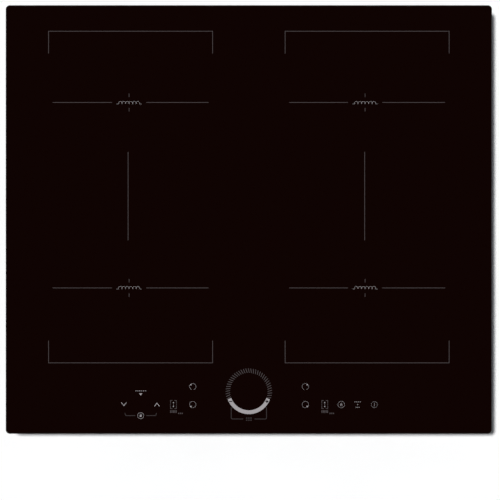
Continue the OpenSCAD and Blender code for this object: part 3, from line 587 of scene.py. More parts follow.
class Stencil:
    """Flat shapes in millimetres that are printed on the glass in one tone, as one piece.

    Attributes:
        ARC_STEP: degrees of an arc that one straight edge covers.
        DOT_SIDES: edges round a dot.
        SHARPEST: smallest cosine between a bend's mitre and its lines, which keeps sharp bends short.
    """

    ARC_STEP = 6
    DOT_SIDES = 20
    SHARPEST = 0.35

    def __init__(self, name: str, tone: Tone, line: float = 0.66) -> None:
        """Starts an empty stencil.

        Args:
            name: the piece's name.
            tone: the enamel's tone.
            line: width of its lines in millimetres.
        """
        self.name = name
        self.tone = tone
        self.line = line
        self.shapes: list[list[Point]] = []

    def polygon(self, points: list[Point]) -> None:
        """Adds one filled shape, its corners anticlockwise."""
        self.shapes.append(points)

    def block(self, x: float, y: float, width: float, height: float) -> None:
        """Adds a filled rectangle about a middle."""
        w, h = width / 2, height / 2
        self.polygon([(x - w, y - h), (x + w, y - h), (x + w, y + h), (x - w, y + h)])

    def path(self, points: list[Point], width: float | None = None, closed: bool = False) -> None:
        """Adds a line of even width through the points, mitred at its bends.

        Args:
            points: the line's middle.
            width: its width, or the stencil's own.
            closed: whether it ends where it starts.
        """
        half = (width or self.line) / 2
        count = len(points)
        sides = []
        for i, point in enumerate(points):
            before = points[(i - 1) % count] if closed or i else None
            after = points[(i + 1) % count] if closed or i < count - 1 else None
            runs = [Vector(b) - Vector(a) for a, b in ((before, point), (point, after)) if a and b]
            normals = [Vector((-r.y, r.x)).normalized() for r in runs]
            mitre = sum(normals, Vector((0, 0))).normalized()
            reach = half / max(mitre.dot(normals[0]), self.SHARPEST)
            sides.append(((point[0] + mitre.x * reach, point[1] + mitre.y * reach),
                          (point[0] - mitre.x * reach, point[1] - mitre.y * reach)))
        for i in range(count if closed else count - 1):
            (left, right), (next_left, next_right) = sides[i], sides[(i + 1) % count]
            self.polygon([right, next_right, next_left, left])

    def arc(
        self, centre: Point, radius: float, start: float, end: float, width: float | None = None
    ) -> None:
        """Adds part of a ring.

        Args:
            centre: its middle.
            radius: of the line's middle.
            start: where it starts, in degrees anticlockwise from +X.
            end: where it ends.
            width: its width, or the stencil's own.
        """
        steps = max(int(abs(end - start) / self.ARC_STEP), 2)
        turns = [math.radians(start + (end - start) * k / steps) for k in range(steps + 1)]
        closed = abs(end - start) >= 360
        ring = [(centre[0] + radius * math.cos(t), centre[1] + radius * math.sin(t)) for t in turns]
        self.path(ring[:-1] if closed else ring, width, closed)

    def dot(self, centre: Point, radius: float) -> None:
        """Adds a filled disc."""
        turns = [math.tau * k / self.DOT_SIDES for k in range(self.DOT_SIDES)]
        self.polygon([(centre[0] + radius * math.cos(t), centre[1] + radius * math.sin(t)) for t in turns])

    def print_on(self, top: float, film: float) -> bpy.types.Object:
        """Makes the stencil's shapes as a thin film on the glass.

        Args:
            top: height of the glass's face in millimetres.
            film: the film's thickness.

        Returns:
            The printed piece.
        """
        points: list[Place] = []
        seen: dict[Point, int] = {}
        flat: list[Face] = []
        for shape in self.shapes:
            corners = []
            for x, y in shape:
                key = (round(x, 4), round(y, 4))
                if key not in seen:
                    seen[key] = len(points)
                    points.append((x, y, top + film))
                corners.append(seen[key])
            flat.append(tuple(corners))
        count = len(points)
        sunk = film / 4
        points += [(x, y, top - sunk) for x, y, _ in points]
        edges = {(a, b) for face in flat for a, b in zip(face, face[1:] + face[:1])}
        sides = [(b, a, a + count, b + count) for a, b in sorted(edges) if (b, a) not in edges]
        under = [tuple(i + count for i in reversed(face)) for face in flat]
        piece = mesh_object(self.name, points, flat + sides + under)
        return finish_piece(piece, self.tone.value, "root")


# ---------- glass and its print ----------


@dataclass
class ZonePrint:
    """The marks of one pair of cooking zones: a frame open at its sides, crosses and a bridge line.

    Attributes:
        name: which pair it is.
        coils: the middles of the front and back coil.
        half_width: from the pair's middle to its frame.
        above: from the back coil's middle to the frame's back line.
        below: from the front coil's middle to its front line.
        leg: length of the frame's corner legs.
        shift: how far the crosses stand left of the coils' middles.
        drop: how far the back coil's sign stands below its cross's arms.
        bridge_shift: how far the bridge line stands left of the coils' middles.
        arm: length of a cross's arm, from the middle of the coil.
        gap: clear space each side of the coil sign.
        tick: nearest and farthest ends of the upright ticks.
        bridge: from each coil's middle to the bridge line's end, back and front.
        loops: how many loops a coil sign has.
        loop: radius of a loop.
        loop_pitch: from loop to loop.
        tail: length of a coil sign's straight ends.
    """

    name: str
    coils: tuple[Point, Point]
    half_width: float = 99.5
    above: float = 86.4
    below: float = 90.9
    leg: float = 27.0
    shift: float = 1.8
    drop: float = 0.5
    bridge_shift: float = 3.0
    arm: float = 94.6
    gap: float = 20.8
    tick: Point = (6.6, 10.9)
    bridge: Point = (60.0, 57.7)
    loops: int = 6
    loop: float = 2.0
    loop_pitch: float = 4.3
    tail: float = 2.8

    def stencils(self) -> list[Stencil]:
        """Draws the pair's lines and its coil signs.

        Returns:
            The stencils of this pair.
        """
        lines = Stencil(f"print_{self.name}_zone_lines", Tone.LINE)
        (x, front), (_, back) = self.coils
        left, right = x - self.half_width, x + self.half_width
        rim = back + self.above
        lines.path([(left, rim - self.leg), (left, rim), (right, rim), (right, rim - self.leg)])
        rim = front - self.below
        lines.path([(left, rim + self.leg), (left, rim), (right, rim), (right, rim + self.leg)])
        middle = x - self.shift
        signs = Stencil(f"print_{self.name}_coil_signs", Tone.SYMBOL, 0.27)
        for y in (front, back):
            lines.path([(x - self.arm, y), (middle - self.gap, y)])
            lines.path([(middle + self.gap, y), (x + self.arm, y)])
            for side in (-1, 1):
                lines.path([(middle, y + side * self.tick[0]), (middle, y + side * self.tick[1])])
            self.coil_sign(signs, (middle, y - self.drop if y == back else y))
        link = x - self.bridge_shift
        lines.path([(link, back - self.bridge[0]), (link, front + self.bridge[1])])
        return [lines, signs]

    def coil_sign(self, signs: Stencil, centre: Point) -> None:
        """Draws the common sign for induction heating, a lying coil of loops between two straight ends.

        Args:
            signs: the stencil it goes on.
            centre: the sign's middle.
        """
        x, y = centre
        half = self.loop_pitch * (self.loops - 1) / 2
        for k in range(self.loops):
            signs.arc((x - half + k * self.loop_pitch, y - 0.2), self.loop, -30, 210)
        foot = y - 1.3
        for side in (-1, 1):
            end = x + side * (half + self.loop - 0.3)
            signs.path([(end, foot), (end + side * self.tail, foot)][::side])


@dataclass
class SliderPrint:
    """The round power slider: a scale of ticks above, a solid band below and a bracket under it.

    Attributes:
        centre: the slider's middle.
        scale: inner and outer radius of the ticks.
        scale_ends: where the ticks start and end, in degrees.
        pitch: degrees from tick to tick.
        lean: how far a tick's ends lean each way, in degrees.
        band: inner and outer radius of the solid band.
        band_ends: where the band starts and ends.
        bracket: half its width, and the heights of its ends and its foot below the centre.
        corner: radius of the bracket's corners.
        foot_gap: half the gap in the bracket's foot.
        dash: length of the dashes in that gap, and their height.
        dash_pitch: from dash to dash.
        sign: half the length of the signs' bars.
        sign_turn: from the band's ends to the signs, in degrees.
    """

    centre: Point
    scale: Point = (22.8, 28.1)
    scale_ends: Point = (-17.0, 197.0)
    pitch: float = 6.3
    lean: float = 1.5
    band: Point = (22.7, 27.3)
    band_ends: Point = (200.0, 340.0)
    bracket: tuple[float, float, float] = (21.4, 18.9, 33.2)
    corner: float = 1.5
    foot_gap: float = 6.8
    dash: Point = (1.6, 1.3)
    dash_pitch: float = 2.6
    sign: float = 1.8
    sign_turn: float = 8.5

    def stencils(self) -> list[Stencil]:
        """Draws the slider.

        Returns:
            Its ticks and bracket, its solid band, and the signs left bare on the band.
        """
        return [self.ticks(), self.brackets(), *self.band_and_signs()]

    def around(self, radius: float, turn: float) -> Point:
        """A place at a radius from the slider's middle and an angle in radians."""
        return self.centre[0] + radius * math.cos(turn), self.centre[1] + radius * math.sin(turn)

    def ticks(self) -> Stencil:
        """Draws the scale.

        Returns:
            Its stencil.
        """
        ticks = Stencil("print_slider_scale", Tone.LINE, 0.8)
        start, end = self.scale_ends
        count = round((end - start) / self.pitch)
        lean = math.radians(self.lean)
        for k in range(count + 1):
            turn = math.radians(start + k * (end - start) / count)
            ticks.path([self.around(self.scale[0], turn - lean), self.around(self.scale[1], turn + lean)])
        return ticks

    def brackets(self) -> Stencil:
        """Draws the bracket under the band, and the dashes in its foot.

        Returns:
            Its stencil.
        """
        x, y = self.centre
        lines = Stencil("print_slider_bracket", Tone.FAINT, 0.8)
        half, top, foot = self.bracket
        bend = [math.radians(a) for a in (0, -30, -60, -90)]
        for side in (-1, 1):
            corner = (x + side * (half - self.corner), y - foot + self.corner)
            curve = [
                (corner[0] + side * self.corner * math.cos(a), corner[1] + self.corner * math.sin(a))
                for a in bend]
            lines.path([(x + side * half, y - top), *curve, (x + side * self.foot_gap, y - foot)])
        length, height = self.dash
        for k in (-1, 0, 1):
            middle = x + k * self.dash_pitch
            for row in (y - foot + 1.1, y - foot - 1.5):
                lines.path([(middle - length / 2, row), (middle + length / 2, row)], height)
        return lines

    def band_and_signs(self) -> list[Stencil]:
        """Draws the solid band, with a minus and a plus left bare at its ends.

        Returns:
            The band's stencil and the signs' stencil.
        """
        band = Stencil("print_slider_band", Tone.SLIDER)
        width, radius = self.band[1] - self.band[0], sum(self.band) / 2
        band.arc(self.centre, radius, *self.band_ends, width)
        signs = Stencil("print_slider_signs", Tone.BARE, 1.2)
        start, end = self.band_ends
        for turn, upright in ((start + self.sign_turn, False), (end - self.sign_turn, True)):
            x, y = self.around(radius, math.radians(turn))
            signs.path([(x - self.sign, y), (x + self.sign, y)])
            if upright:
                signs.path([(x, y - self.sign), (x, y + self.sign)])
        return [band, signs]


@dataclass
class KeyPrint:
    """The symbols over the touch keys, placed from the middle of the glass and its front edge.

    Attributes:
        front: Y of the glass's front edge.
        row: from there to the row of keys.
        back_row: to the upper zone keys.
        lock_row: to the timer's lock.
        caption_row: to the dashes under the bridge keys.
        zones: X of the zone keys, left and right.
        bridges: X of the bridge keys, left and right.
        timer_x: X of the timer's middle.
        lock_x: X of the lock key.
        pause_x: X of the pause key.
        power_x: X of the power key.
        bridge_half: half the width and half the height of a bridge key's frame.
    """

    front: float
    row: float = 35.5
    back_row: float = 57.2
    lock_row: float = 22.1
    caption_row: float = 27.0
    zones: Point = (-68.1, 68.6)
    bridges: Point = (-91.5, 92.1)
    timer_x: float = -131.2
    lock_x: float = 112.1
    pause_x: float = 132.0
    power_x: float = 152.3
    bridge_half: Point = (3.6, 4.9)

    def stencils(self) -> list[Stencil]:
        """Draws every key.

        Returns:
            The stencils of the zone keys, the bridge keys, the timer and the right-hand keys.
        """
        return [self.zone_keys(), *self.bridge_keys(), *self.timer(), self.right_keys()]

    def at(self, x: float, row: float) -> Point:
        """A place from the middle of the glass and its front edge."""
        return x, self.front + row

    def zone_keys(self) -> Stencil:
        """Draws rings that choose a zone, each with a dot inside it on its zone's side.

        Returns:
            Their stencil.
        """
        keys = Stencil("print_zone_keys", Tone.SYMBOL, 0.22)
        ring, dot, out = 3.9, 0.8, 2.2
        open_ring, whole_ring = (-70, 250), (0, 360)
        for side, middle in zip((-1, 1), self.zones):
            for row, up in ((self.back_row, 1), (self.row, -1)):
                x, y = self.at(middle, row)
                keys.arc((x, y), ring, *(open_ring if up > 0 else whole_ring))
                keys.dot((x + side * out, y + up * out), dot)
        return keys

    def bridge_keys(self) -> list[Stencil]:
        """Draws dashed frames, the two linked zones inside each, and the dashes under it.

        Returns:
            The stencils of the frames, the zones and the dashes.
        """
        frames = Stencil("print_bridge_frames", Tone.LINE, 0.66)
        zones = Stencil("print_bridge_zones", Tone.SYMBOL, 0.3)
        captions = Stencil("print_bridge_captions", Tone.LINE)
        half, tall = self.bridge_half
        gap, dash = 1.2, 0.6
        for middle in self.bridges:
            x, y = self.at(middle, self.row)
            for sx in (-1, 1):
                for sy in (-1, 1):
                    edge, rim = x + sx * half, y + sy * tall
                    frames.path([(edge, y + sy * gap), (edge, rim), (x + sx * gap, rim)])
                frames.path([(x + sx * half, y - dash), (x + sx * half, y + dash)])
            for sy in (-1, 1):
                zones.dot((x, y + sy * 2.4), 0.65)
                zones.path([(x, y + sy * 0.3), (x, y + sy * 1.2)])
            self.caption(captions, x, self.front + self.caption_row)
        return [frames, zones, captions]

    def caption(self, captions: Stencil, x: float, y: float) -> None:
        """Draws the dashes under one bridge key: five tall ones, and three small ones lower down.

        Args:
            captions: the stencil they go on.
            x: X of the key's middle.
            y: Y of the tall dashes' middle.
        """
        for k in range(5):
            captions.block(x - 3.4 + k * 1.7, y, 1.0, 3.2)
        for k in range(3):
            captions.block(x + 6.4 + k * 2.1, y - 2.2, 1.2, 1.6)

    def timer(self) -> list[Stencil]:
        """Draws the timer's dashes and arrow, its two chevrons, and the lock between them on a bracket.

        Returns:
            The stencils of the keys, the bracket and the lock.
        """
        keys = Stencil("print_timer_keys", Tone.SYMBOL, 0.66)
        x, y = self.at(self.timer_x, self.row)
        for k in range(6):
            keys.block(x - 5.8 + k * 2.32, y + 16.6, 1.2, 0.7)
        keys.polygon([(x, y + 10.9), (x + 1.95, y + 13.6), (x - 1.95, y + 13.6)])
        self.chevron(keys, (x - 20.4, y - 1.4), 4.0)
        self.chevron(keys, (x + 19.7, y + 1.8), -4.0)
        foot = self.front + self.lock_row
        lines = Stencil("print_timer_bracket", Tone.FAINT, 0.8)
        # Half the bracket, from its outer end down to the foot beside the lock.
        half = ((19.2, 3.2), (18.6, 1.0), (17.6, 0.0), (6.7, 0.0))
        for side in (-1, 1):
            lines.path([(x + side * out, foot + up) for out, up in half])
        lock = Stencil("print_timer_lock", Tone.SYMBOL, 0.3)
        self.padlock(lock, (x, foot), 3.7, True)
        return [keys, lines, lock]

    def chevron(self, keys: Stencil, tip: Point, arms: float) -> None:
        """Draws a chevron whose arms rise by a height from its tip, or fall where it is negative.

        Args:
            keys: the stencil it goes on.
            tip: the chevron's tip.
            arms: height of its arms.
        """
        spread = 3.1
        keys.path([(tip[0] - spread, tip[1] + arms), tip, (tip[0] + spread, tip[1] + arms)])

    def right_keys(self) -> Stencil:
        """Draws the lock key, the pause key's dashes and the power key.

        Returns:
            Their stencil.
        """
        keys = Stencil("print_right_keys", Tone.SYMBOL, 0.22)
        self.padlock(keys, self.at(self.lock_x, self.row), 4.0, False)
        x, y = self.at(self.pause_x, self.row)
        lift = 3.3
        for k in range(4):
            keys.block(x - 3.3 + k * 2.2, y + lift, 1.1, 0.6)
        keys.dot((x, y), 0.5)
        for k in (-1, 0, 1):
            keys.block(x + k * 1.9, y - lift, 1.0, 0.6)
        x, y = self.at(self.power_x, self.row)
        bar = 2.3
        keys.arc((x, y), 3.7, 0, 360, 0.16)
        keys.path([(x, y - bar), (x, y + bar)], 0.3)
        return keys

    def padlock(self, keys: Stencil, centre: Point, radius: float, solid: bool) -> None:
        """Draws a ring with a closed padlock in it.

        Args:
            keys: the stencil it goes on.
            centre: the ring's middle.
            radius: the ring's radius.
            solid: whether the padlock's body is filled.
        """
        x, y = centre
        keys.arc(centre, radius, 0, 360)
        if solid:
            keys.block(x, y - 0.6, 2.2, 1.8)
        else:
            half, low, high = 1.0, y - 1.5, y + 0.2
            body = [(x - half, low), (x + half, low), (x + half, high), (x - half, high)]
            keys.path(body, 0.3, True)
        bow = 0.8
        arch = [math.radians(a) for a in (180, 135, 90, 45, 0)]
        shackle = [(x + bow * math.cos(a), y + 0.9 + bow * math.sin(a)) for a in arch]
        keys.path([(x - bow, y + 0.3), *shackle, (x + bow, y + 0.3)], 0.4 if solid else 0.3)


@dataclass
class GlassTop:
    """The glass-ceramic pane and everything printed on it.

    Attributes:
        film: thickness of the enamel; real enamel is 0.01 mm, drawn thicker so that it never sinks
            into the glass.
        dial: from the glass's front edge to the slider's middle.
        over: how many times thicker the film of the signs is that lie on another film.
        shifts: how far each pair's crosses stand left of its coils' middles.
    """

    film: float = 0.03
    dial: float = 51.2
    over: float = 1.4
    shifts: tuple[tuple[str, float], ...] = (("left", 1.8), ("right", 2.5))

    def dress(self) -> None:
        """Gives the pane its finish, with the ground band set from its own size."""
        low, high = box_mm("glass_top")
        # Black glass-ceramic, fire polished: a deep brown-black mirror; its ground band is matt and black.
        pane = GlassCeramic(
            "glass_ceramic_fire_polished", "#0d0302", "#030202",
            smooth=0.01, rough=0.018, grain=60.0, depth=0.001, ior=1.54,
            half_width=(high.x - low.x) / 2, half_depth=(high.y - low.y) / 2)
        dress_node("glass_top", pane)

    def build(self) -> None:
        """Prints the zones, the slider and the keys."""
        low, high = box_mm("glass_top")
        middle = (low.x + high.x) / 2
        stencils = []
        for side, shift in self.shifts:
            coils = tuple(self.centre(f"coil_winding_{row}_{side}") for row in ("front", "back"))
            stencils += ZonePrint(side, coils, shift=shift).stencils()
        stencils += SliderPrint((middle, low.y + self.dial)).stencils()
        stencils += KeyPrint(low.y).stencils()
        for stencil in stencils:
            film = self.film * (self.over if stencil.tone is Tone.BARE else 1.0)
            stencil.print_on(high.z, film)

    def centre(self, node: str) -> Point:
        """Middle of a CAD node, seen from above, in millimetres."""
        low, high = box_mm(node)
        return (low.x + high.x) / 2, (low.y + high.y) / 2


# ---------- finishes of the CAD nodes ----------


def dress_node(node: str, finish: Finish) -> None:
    """Puts a finish on every material slot of a CAD node and reports it.

    Args:
        node: the CAD node's name.
        finish: what it is made of.
    """
    piece = frame["nodes"][node]
    for slot in piece.material_slots:
        slot.material = finish.material()
    LOG.info("%s: %s", node, finish.name)


@dataclass
class Dressing:
    """Finishes of the frame's nodes, by the record's material slots.

    Attributes:
        coil: the back right coil's middle.
        middle: Y halfway between the front and back coils.
        mains: X of the middle mains core.
    """

    coil: Point
    middle: float
    mains: float

    def finishes(self) -> dict[str, Finish]:
        """Lists a finish for each slot.

        Returns:
            The finishes by slot.
        """
        return {
            # Closed-cell foam, slit from a block: soft, dull black with open cut cells.
            "seal_foam": Cellular(
                "foam_rubber_closed_cell", "#1d1d1e", "#2b2b2c",
                smooth=0.85, rough=0.95, grain=0.9, depth=0.15, ior=1.45),
            # Cured silicone, squeezed out: pale grey with a soft, waxy shine.
            "silicone": Finish(
                "silicone_extruded_cured", "#8f9192", "#9da0a1",
                smooth=0.35, rough=0.5, grain=6.0, depth=0.05, ior=1.41),
            # Hot-dip galvanised steel sheet: cool grey with small flat crystals.
            "zinc_sheet": Spangled(
                "steel_hot_dip_galvanised", "#979c9f", "#a6abae",
                smooth=0.36, rough=0.46, grain=2.6, depth=0.006, metallic=1.0),
            # Zinc-plated steel, cold headed: bright with a bluish tinge.
            "zinc_screw": Finish(
                "steel_zinc_plated_headed", "#a4a9ad", "#bcc1c4",
                smooth=0.2, rough=0.32, grain=2.0, depth=0.004, metallic=1.0),
            # Zinc-plated steel, stamped: brighter on the worn high spots.
            "zinc_clamp": Finish(
                "steel_zinc_plated_stamped", "#9a9fa2", "#b8bcbf",
                smooth=0.24, rough=0.4, grain=7.0, depth=0.01, metallic=1.0),
            # Yellow passivated zinc: straw gold that drifts to pink and green.
            "yellow_zinc": Finish(
                "steel_yellow_passivated", "#a8893f", "#c2a765",
                smooth=0.26, rough=0.38, grain=3.0, depth=0.004, metallic=1.0),
            # Rolled aluminium sheet, mill finish: pale with fine lines.
            "aluminium_sheet": Rolled(
                "aluminium_rolled_mill", "#b4b7b9", "#c9cccd",
                smooth=0.3, rough=0.42, grain=0.8, depth=0.004, metallic=1.0),
            # Extruded aluminium: long die lines down the fins.
            "extruded_aluminium": Rolled(
                "aluminium_extruded", "#aeb2b4", "#c3c6c8",
                smooth=0.28, rough=0.4, grain=0.6, depth=0.01, metallic=1.0, run=90),
            # Sintered ferrite: dark grey, dry and grainy.
            "ferrite": Cellular(
                "ferrite_sintered", "#26272a", "#34353a",
                smooth=0.6, rough=0.8, grain=0.6, depth=0.02, ior=1.8),
            # Glass-filled polyester, moulded: warm cream with flow marks.
            "former_plastic": Finish(
                "polyester_glass_filled_moulded", "#c9c1a8", "#d8d1bb",
                smooth=0.5, rough=0.65, grain=9.0, depth=0.02),
            # Enamelled litz wire, twisted and wound: copper with slanting strands, and painted shade
            # darkening the grooves between them.
            "copper": Litz(
                "copper_litz_enamelled", "#8a4a28", "#cf8455",
                smooth=0.28, rough=0.42, grain=3.2, depth=0.15, metallic=1.0,
                coil=self.coil, middle=self.middle),
            # Mica flakes bonded on fibre board: straw brown with a slight glitter.
            "mica_fibre": Cellular(
                "mica_faced_fibre_pressed", "#bba883", "#c9b895",
                smooth=0.4, rough=0.65, grain=3.0, depth=0.03, ior=1.58),
            # Sintered alumina: chalky white.
            "sensor_ceramic": Finish(
                "alumina_sintered", "#d3d2cc", "#e2e1dc",
                smooth=0.55, rough=0.7, grain=1.0, depth=0.01, ior=1.76),
            # Drawn spring wire: dark bright steel with draw lines.
            "spring_steel": Rolled(
                "steel_spring_drawn", "#82868a", "#a0a4a8",
                smooth=0.25, rough=0.38, grain=0.4, depth=0.004, metallic=1.0, run=20),
            # Glass-filled polyamide, moulded on a spark-eroded tool: black with a fine grain.
            "black_plastic": Finish(
                "polyamide_glass_filled_moulded", "#17181a", "#1f2022",
                smooth=0.5, rough=0.66, grain=0.8, depth=0.03, ior=1.53),
            # Glass-epoxy laminate with green solder mask: tracks on a 2.54 mm grid, tinned pads.
            "circuit_board": Laminate(
                "laminate_solder_masked", "#0f3d26", "#2a6b44",
                smooth=0.3, rough=0.5, grain=2.54, depth=0.03, ior=1.55),
            # Film capacitor boxes, moulded: mustard grey.
            "capacitor_case": Finish(
                "polybutylene_moulded_boxes", "#a79c78", "#b5aa88",
                smooth=0.4, rough=0.55, grain=1.0, depth=0.02),
            # Relay boxes, moulded and glossy: dark blue.
            "relay_case": Finish(
                "polycarbonate_moulded_glossy", "#243d5c", "#2c4769",
                smooth=0.18, rough=0.28, grain=12.0, depth=0.004, ior=1.58),
            # Pressed motor can, passivated: dark satin grey.
            "motor_metal": Rolled(
                "steel_pressed_can", "#73777a", "#8c9093",
                smooth=0.3, rough=0.42, grain=0.8, depth=0.004, metallic=1.0, run=12),
            # Flame-retardant polyamide, moulded: black with a leathery grain.
            "terminal_plastic": Finish(
                "polyamide_flame_retardant_moulded", "#151618", "#1d1e20",
                smooth=0.48, rough=0.62, grain=1.1, depth=0.04, ior=1.53),
            # Polyamide, moulded in ivory.
            "terminal_ivory": Finish(
                "polyamide_ivory_moulded", "#c6c7b9", "#d4d5c8",
                smooth=0.4, rough=0.55, grain=1.5, depth=0.02, ior=1.53),
            # Polycarbonate carrier, moulded: milky white.
            "carrier_plastic": Finish(
                "polycarbonate_milky_moulded", "#c3c4be", "#d2d3ce",
                smooth=0.35, rough=0.5, grain=5.0, depth=0.01, ior=1.58),
            # Conductive foam, cut: dark grey cells.
            "pad_foam": Cellular(
                "foam_conductive_cut", "#37383a", "#48494c",
                smooth=0.8, rough=0.95, grain=0.7, depth=0.1, ior=1.45),
            # Reflector of the displays, moulded: white and glossy.
            "display_plastic": Finish(
                "reflector_white_moulded", "#dcdcd8", "#e6e6e3",
                smooth=0.2, rough=0.32, grain=8.0, depth=0.004, ior=1.58),
            # Silicone-insulated leads: brick red with a soft shine.
            "red_silicone": Finish(
                "silicone_lead_extruded", "#8f1f14", "#a32a1c",
                smooth=0.4, rough=0.55, grain=1.5, depth=0.01, ior=1.41),
            # Extruded vinyl insulation: brown, green-yellow and blue mains cores, and grey for the rest.
            "wire_insulation": Insulated(
                "vinyl_insulation_extruded", "#8c8f92", "#8c8f92",
                smooth=0.35, rough=0.5, grain=1.2, depth=0.01, middle=self.mains),
        }

    def dress(self) -> None:
        """Dresses every node whose slot has a finish here."""
        finishes = self.finishes()
        for part in frame["record"]["subparts"]:
            if part["material_slot"] in finishes:
                dress_node(part["node"], finishes[part["material_slot"]])


# ---------- details of the case ----------


@dataclass
class WeldSpots:
    """Spot welds that hold the pan's flange under the case's shelf.

    Attributes:
        sheet: thickness of the pan's sheet.
        pitch: about how far apart they are.
        radius: of the electrode's dimple.
        inset: from the flange's edge to the spots.
        rise: how far the rim of a dimple stands proud.
        clear: half the gap in the row at the terminal recess.
        span: share of each side that its row takes up.
        sides: edges round a dimple.
    """

    sheet: float = 0.8
    pitch: float = 62.0
    radius: float = 2.6
    inset: float = 4.0
    rise: float = 0.12
    clear: float = 8.0
    span: float = 0.925
    sides: int = 20

    def build(self) -> bpy.types.Object:
        """Builds every spot as one piece under the flange.

        Returns:
            The piece.
        """
        low, high = box_mm("bottom_pan")
        recess_low, recess_high = box_mm("terminal_recess")
        under = high.z - self.sheet
        points: list[Place] = []
        faces: list[Face] = []
        for x, y in self.places(high):
            near = recess_low.x - self.clear < x < recess_high.x + self.clear
            if near and y > recess_low.y - self.clear:
                continue
            self.spot(points, faces, (x, y, under))
        # The same galvanised steel, pressed bright by the electrodes.
        bright = Finish(
            "steel_galvanised_spot_welded", "#7c8285", "#9aa0a3",
            smooth=0.3, rough=0.5, grain=1.5, depth=0.01, metallic=1.0)
        return finish_piece(mesh_object("case_weld_spots", points, faces), bright, "root")

    def places(self, high: Vector) -> list[Point]:
        """Lists the spots' middles along the four sides.

        Args:
            high: the pan's highest corner; its middle is at the origin.

        Returns:
            The middles, seen from above.
        """
        x, y = high.x - self.inset, high.y - self.inset
        along_x, along_y = self.row(x), self.row(y)
        spots = [(place, s * y) for place in along_x for s in (-1, 1)]
        return spots + [(s * x, place) for place in along_y for s in (-1, 1)]

    def row(self, half: float) -> list[float]:
        """Spreads the spots of one side evenly.

        Args:
            half: half the side's length.

        Returns:
            Their places along the side.
        """
        gaps = round(2 * self.span * half / self.pitch)
        return [half * (2 * k / gaps - 1) * self.span for k in range(gaps + 1)]

    def spot(self, points: list[Place], faces: list[Face], at: Place) -> None:
        """Adds one dimple: a thin raised rim round a shallow dish.

        Args:
            points: the piece's corners so far.
            faces: its faces so far.
            at: the spot's middle, on the flange's underside.
        """
        # From the rim inwards: the share of the radius, and how far the dimple stands proud there.
        profile = (
            (1.0, -0.01), (0.9, self.rise), (0.75, self.rise * 0.7), (0.4, self.rise * 0.25), (0.0, 0.02))
        start = len(points)
        for share, drop in profile[:-1]:
            for k in range(self.sides):
                turn = math.tau * k / self.sides
                reach = self.radius * share
                points.append((at[0] + reach * math.cos(turn), at[1] + reach * math.sin(turn), at[2] - drop))
        points.append((at[0], at[1], at[2] - profile[-1][1]))
        for ring in range(len(profile) - 2):
            for k in range(self.sides):
                a = start + ring * self.sides + k
                b = start + ring * self.sides + (k + 1) % self.sides
                faces.append((a, a + self.sides, b + self.sides, b))
        last = start + (len(profile) - 2) * self.sides
        faces.extend((last + k, len(points) - 1, last + (k + 1) % self.sides) for k in range(self.sides))


@dataclass
class CoverRibs:
    """Finger ribs moulded across the free end of the terminal cover's underside.

    Attributes:
        count: how many ribs.
        pitch: from rib to rib.
        length: of a rib.
        height: how far a rib stands proud.
        width: of a rib at its foot.
        inset: from the cover's free edge to the first rib.
        draft: how far a rib's flanks lean in; its ends lean twice as far.
    """

    count: int = 5
    pitch: float = 2.4
    length: float = 34.0
    height: float = 0.45
    width: float = 1.1
    inset: float = 4.0
    draft: float = 0.3

    def build(self, finish: Finish) -> bpy.types.Object:
        """Builds the ribs as one piece that moves with the cover.

        Args:
            finish: the cover's own finish.

        Returns:
            The piece.
        """
        low, high = box_mm("terminal_cover")
        middle = (low.x + high.x) / 2
        points: list[Place] = []
        faces: list[Face] = []
        for k in range(self.count):
            self.rib(points, faces, (middle, high.y - self.inset - k * self.pitch, low.z))
        ribs = mesh_object("terminal_cover_ribs", points, faces)
        return finish_piece(ribs, finish, "terminal_cover")

    def rib(self, points: list[Place], faces: list[Face], at: Place) -> None:
        """Adds one rib with sloped flanks and ends.

        Args:
            points: the piece's corners so far.
            faces: its faces so far.
            at: the middle of its foot, on the cover's underside.
        """
        start = len(points)
        corners = ((-1, -1), (1, -1), (1, 1), (-1, 1))
        for drop, lean in ((0.0, 0.0), (-self.height, self.draft)):
            w, d = self.length / 2 - lean * 2, self.width / 2 - lean
            points.extend((at[0] + sx * w, at[1] + sy * d, at[2] + drop) for sx, sy in corners)
        faces.append((start + 7, start + 6, start + 5, start + 4))
        for k in range(4):
            after = (k + 1) % 4
            faces.append((start + k, start + 4 + k, start + 4 + after, start + after))


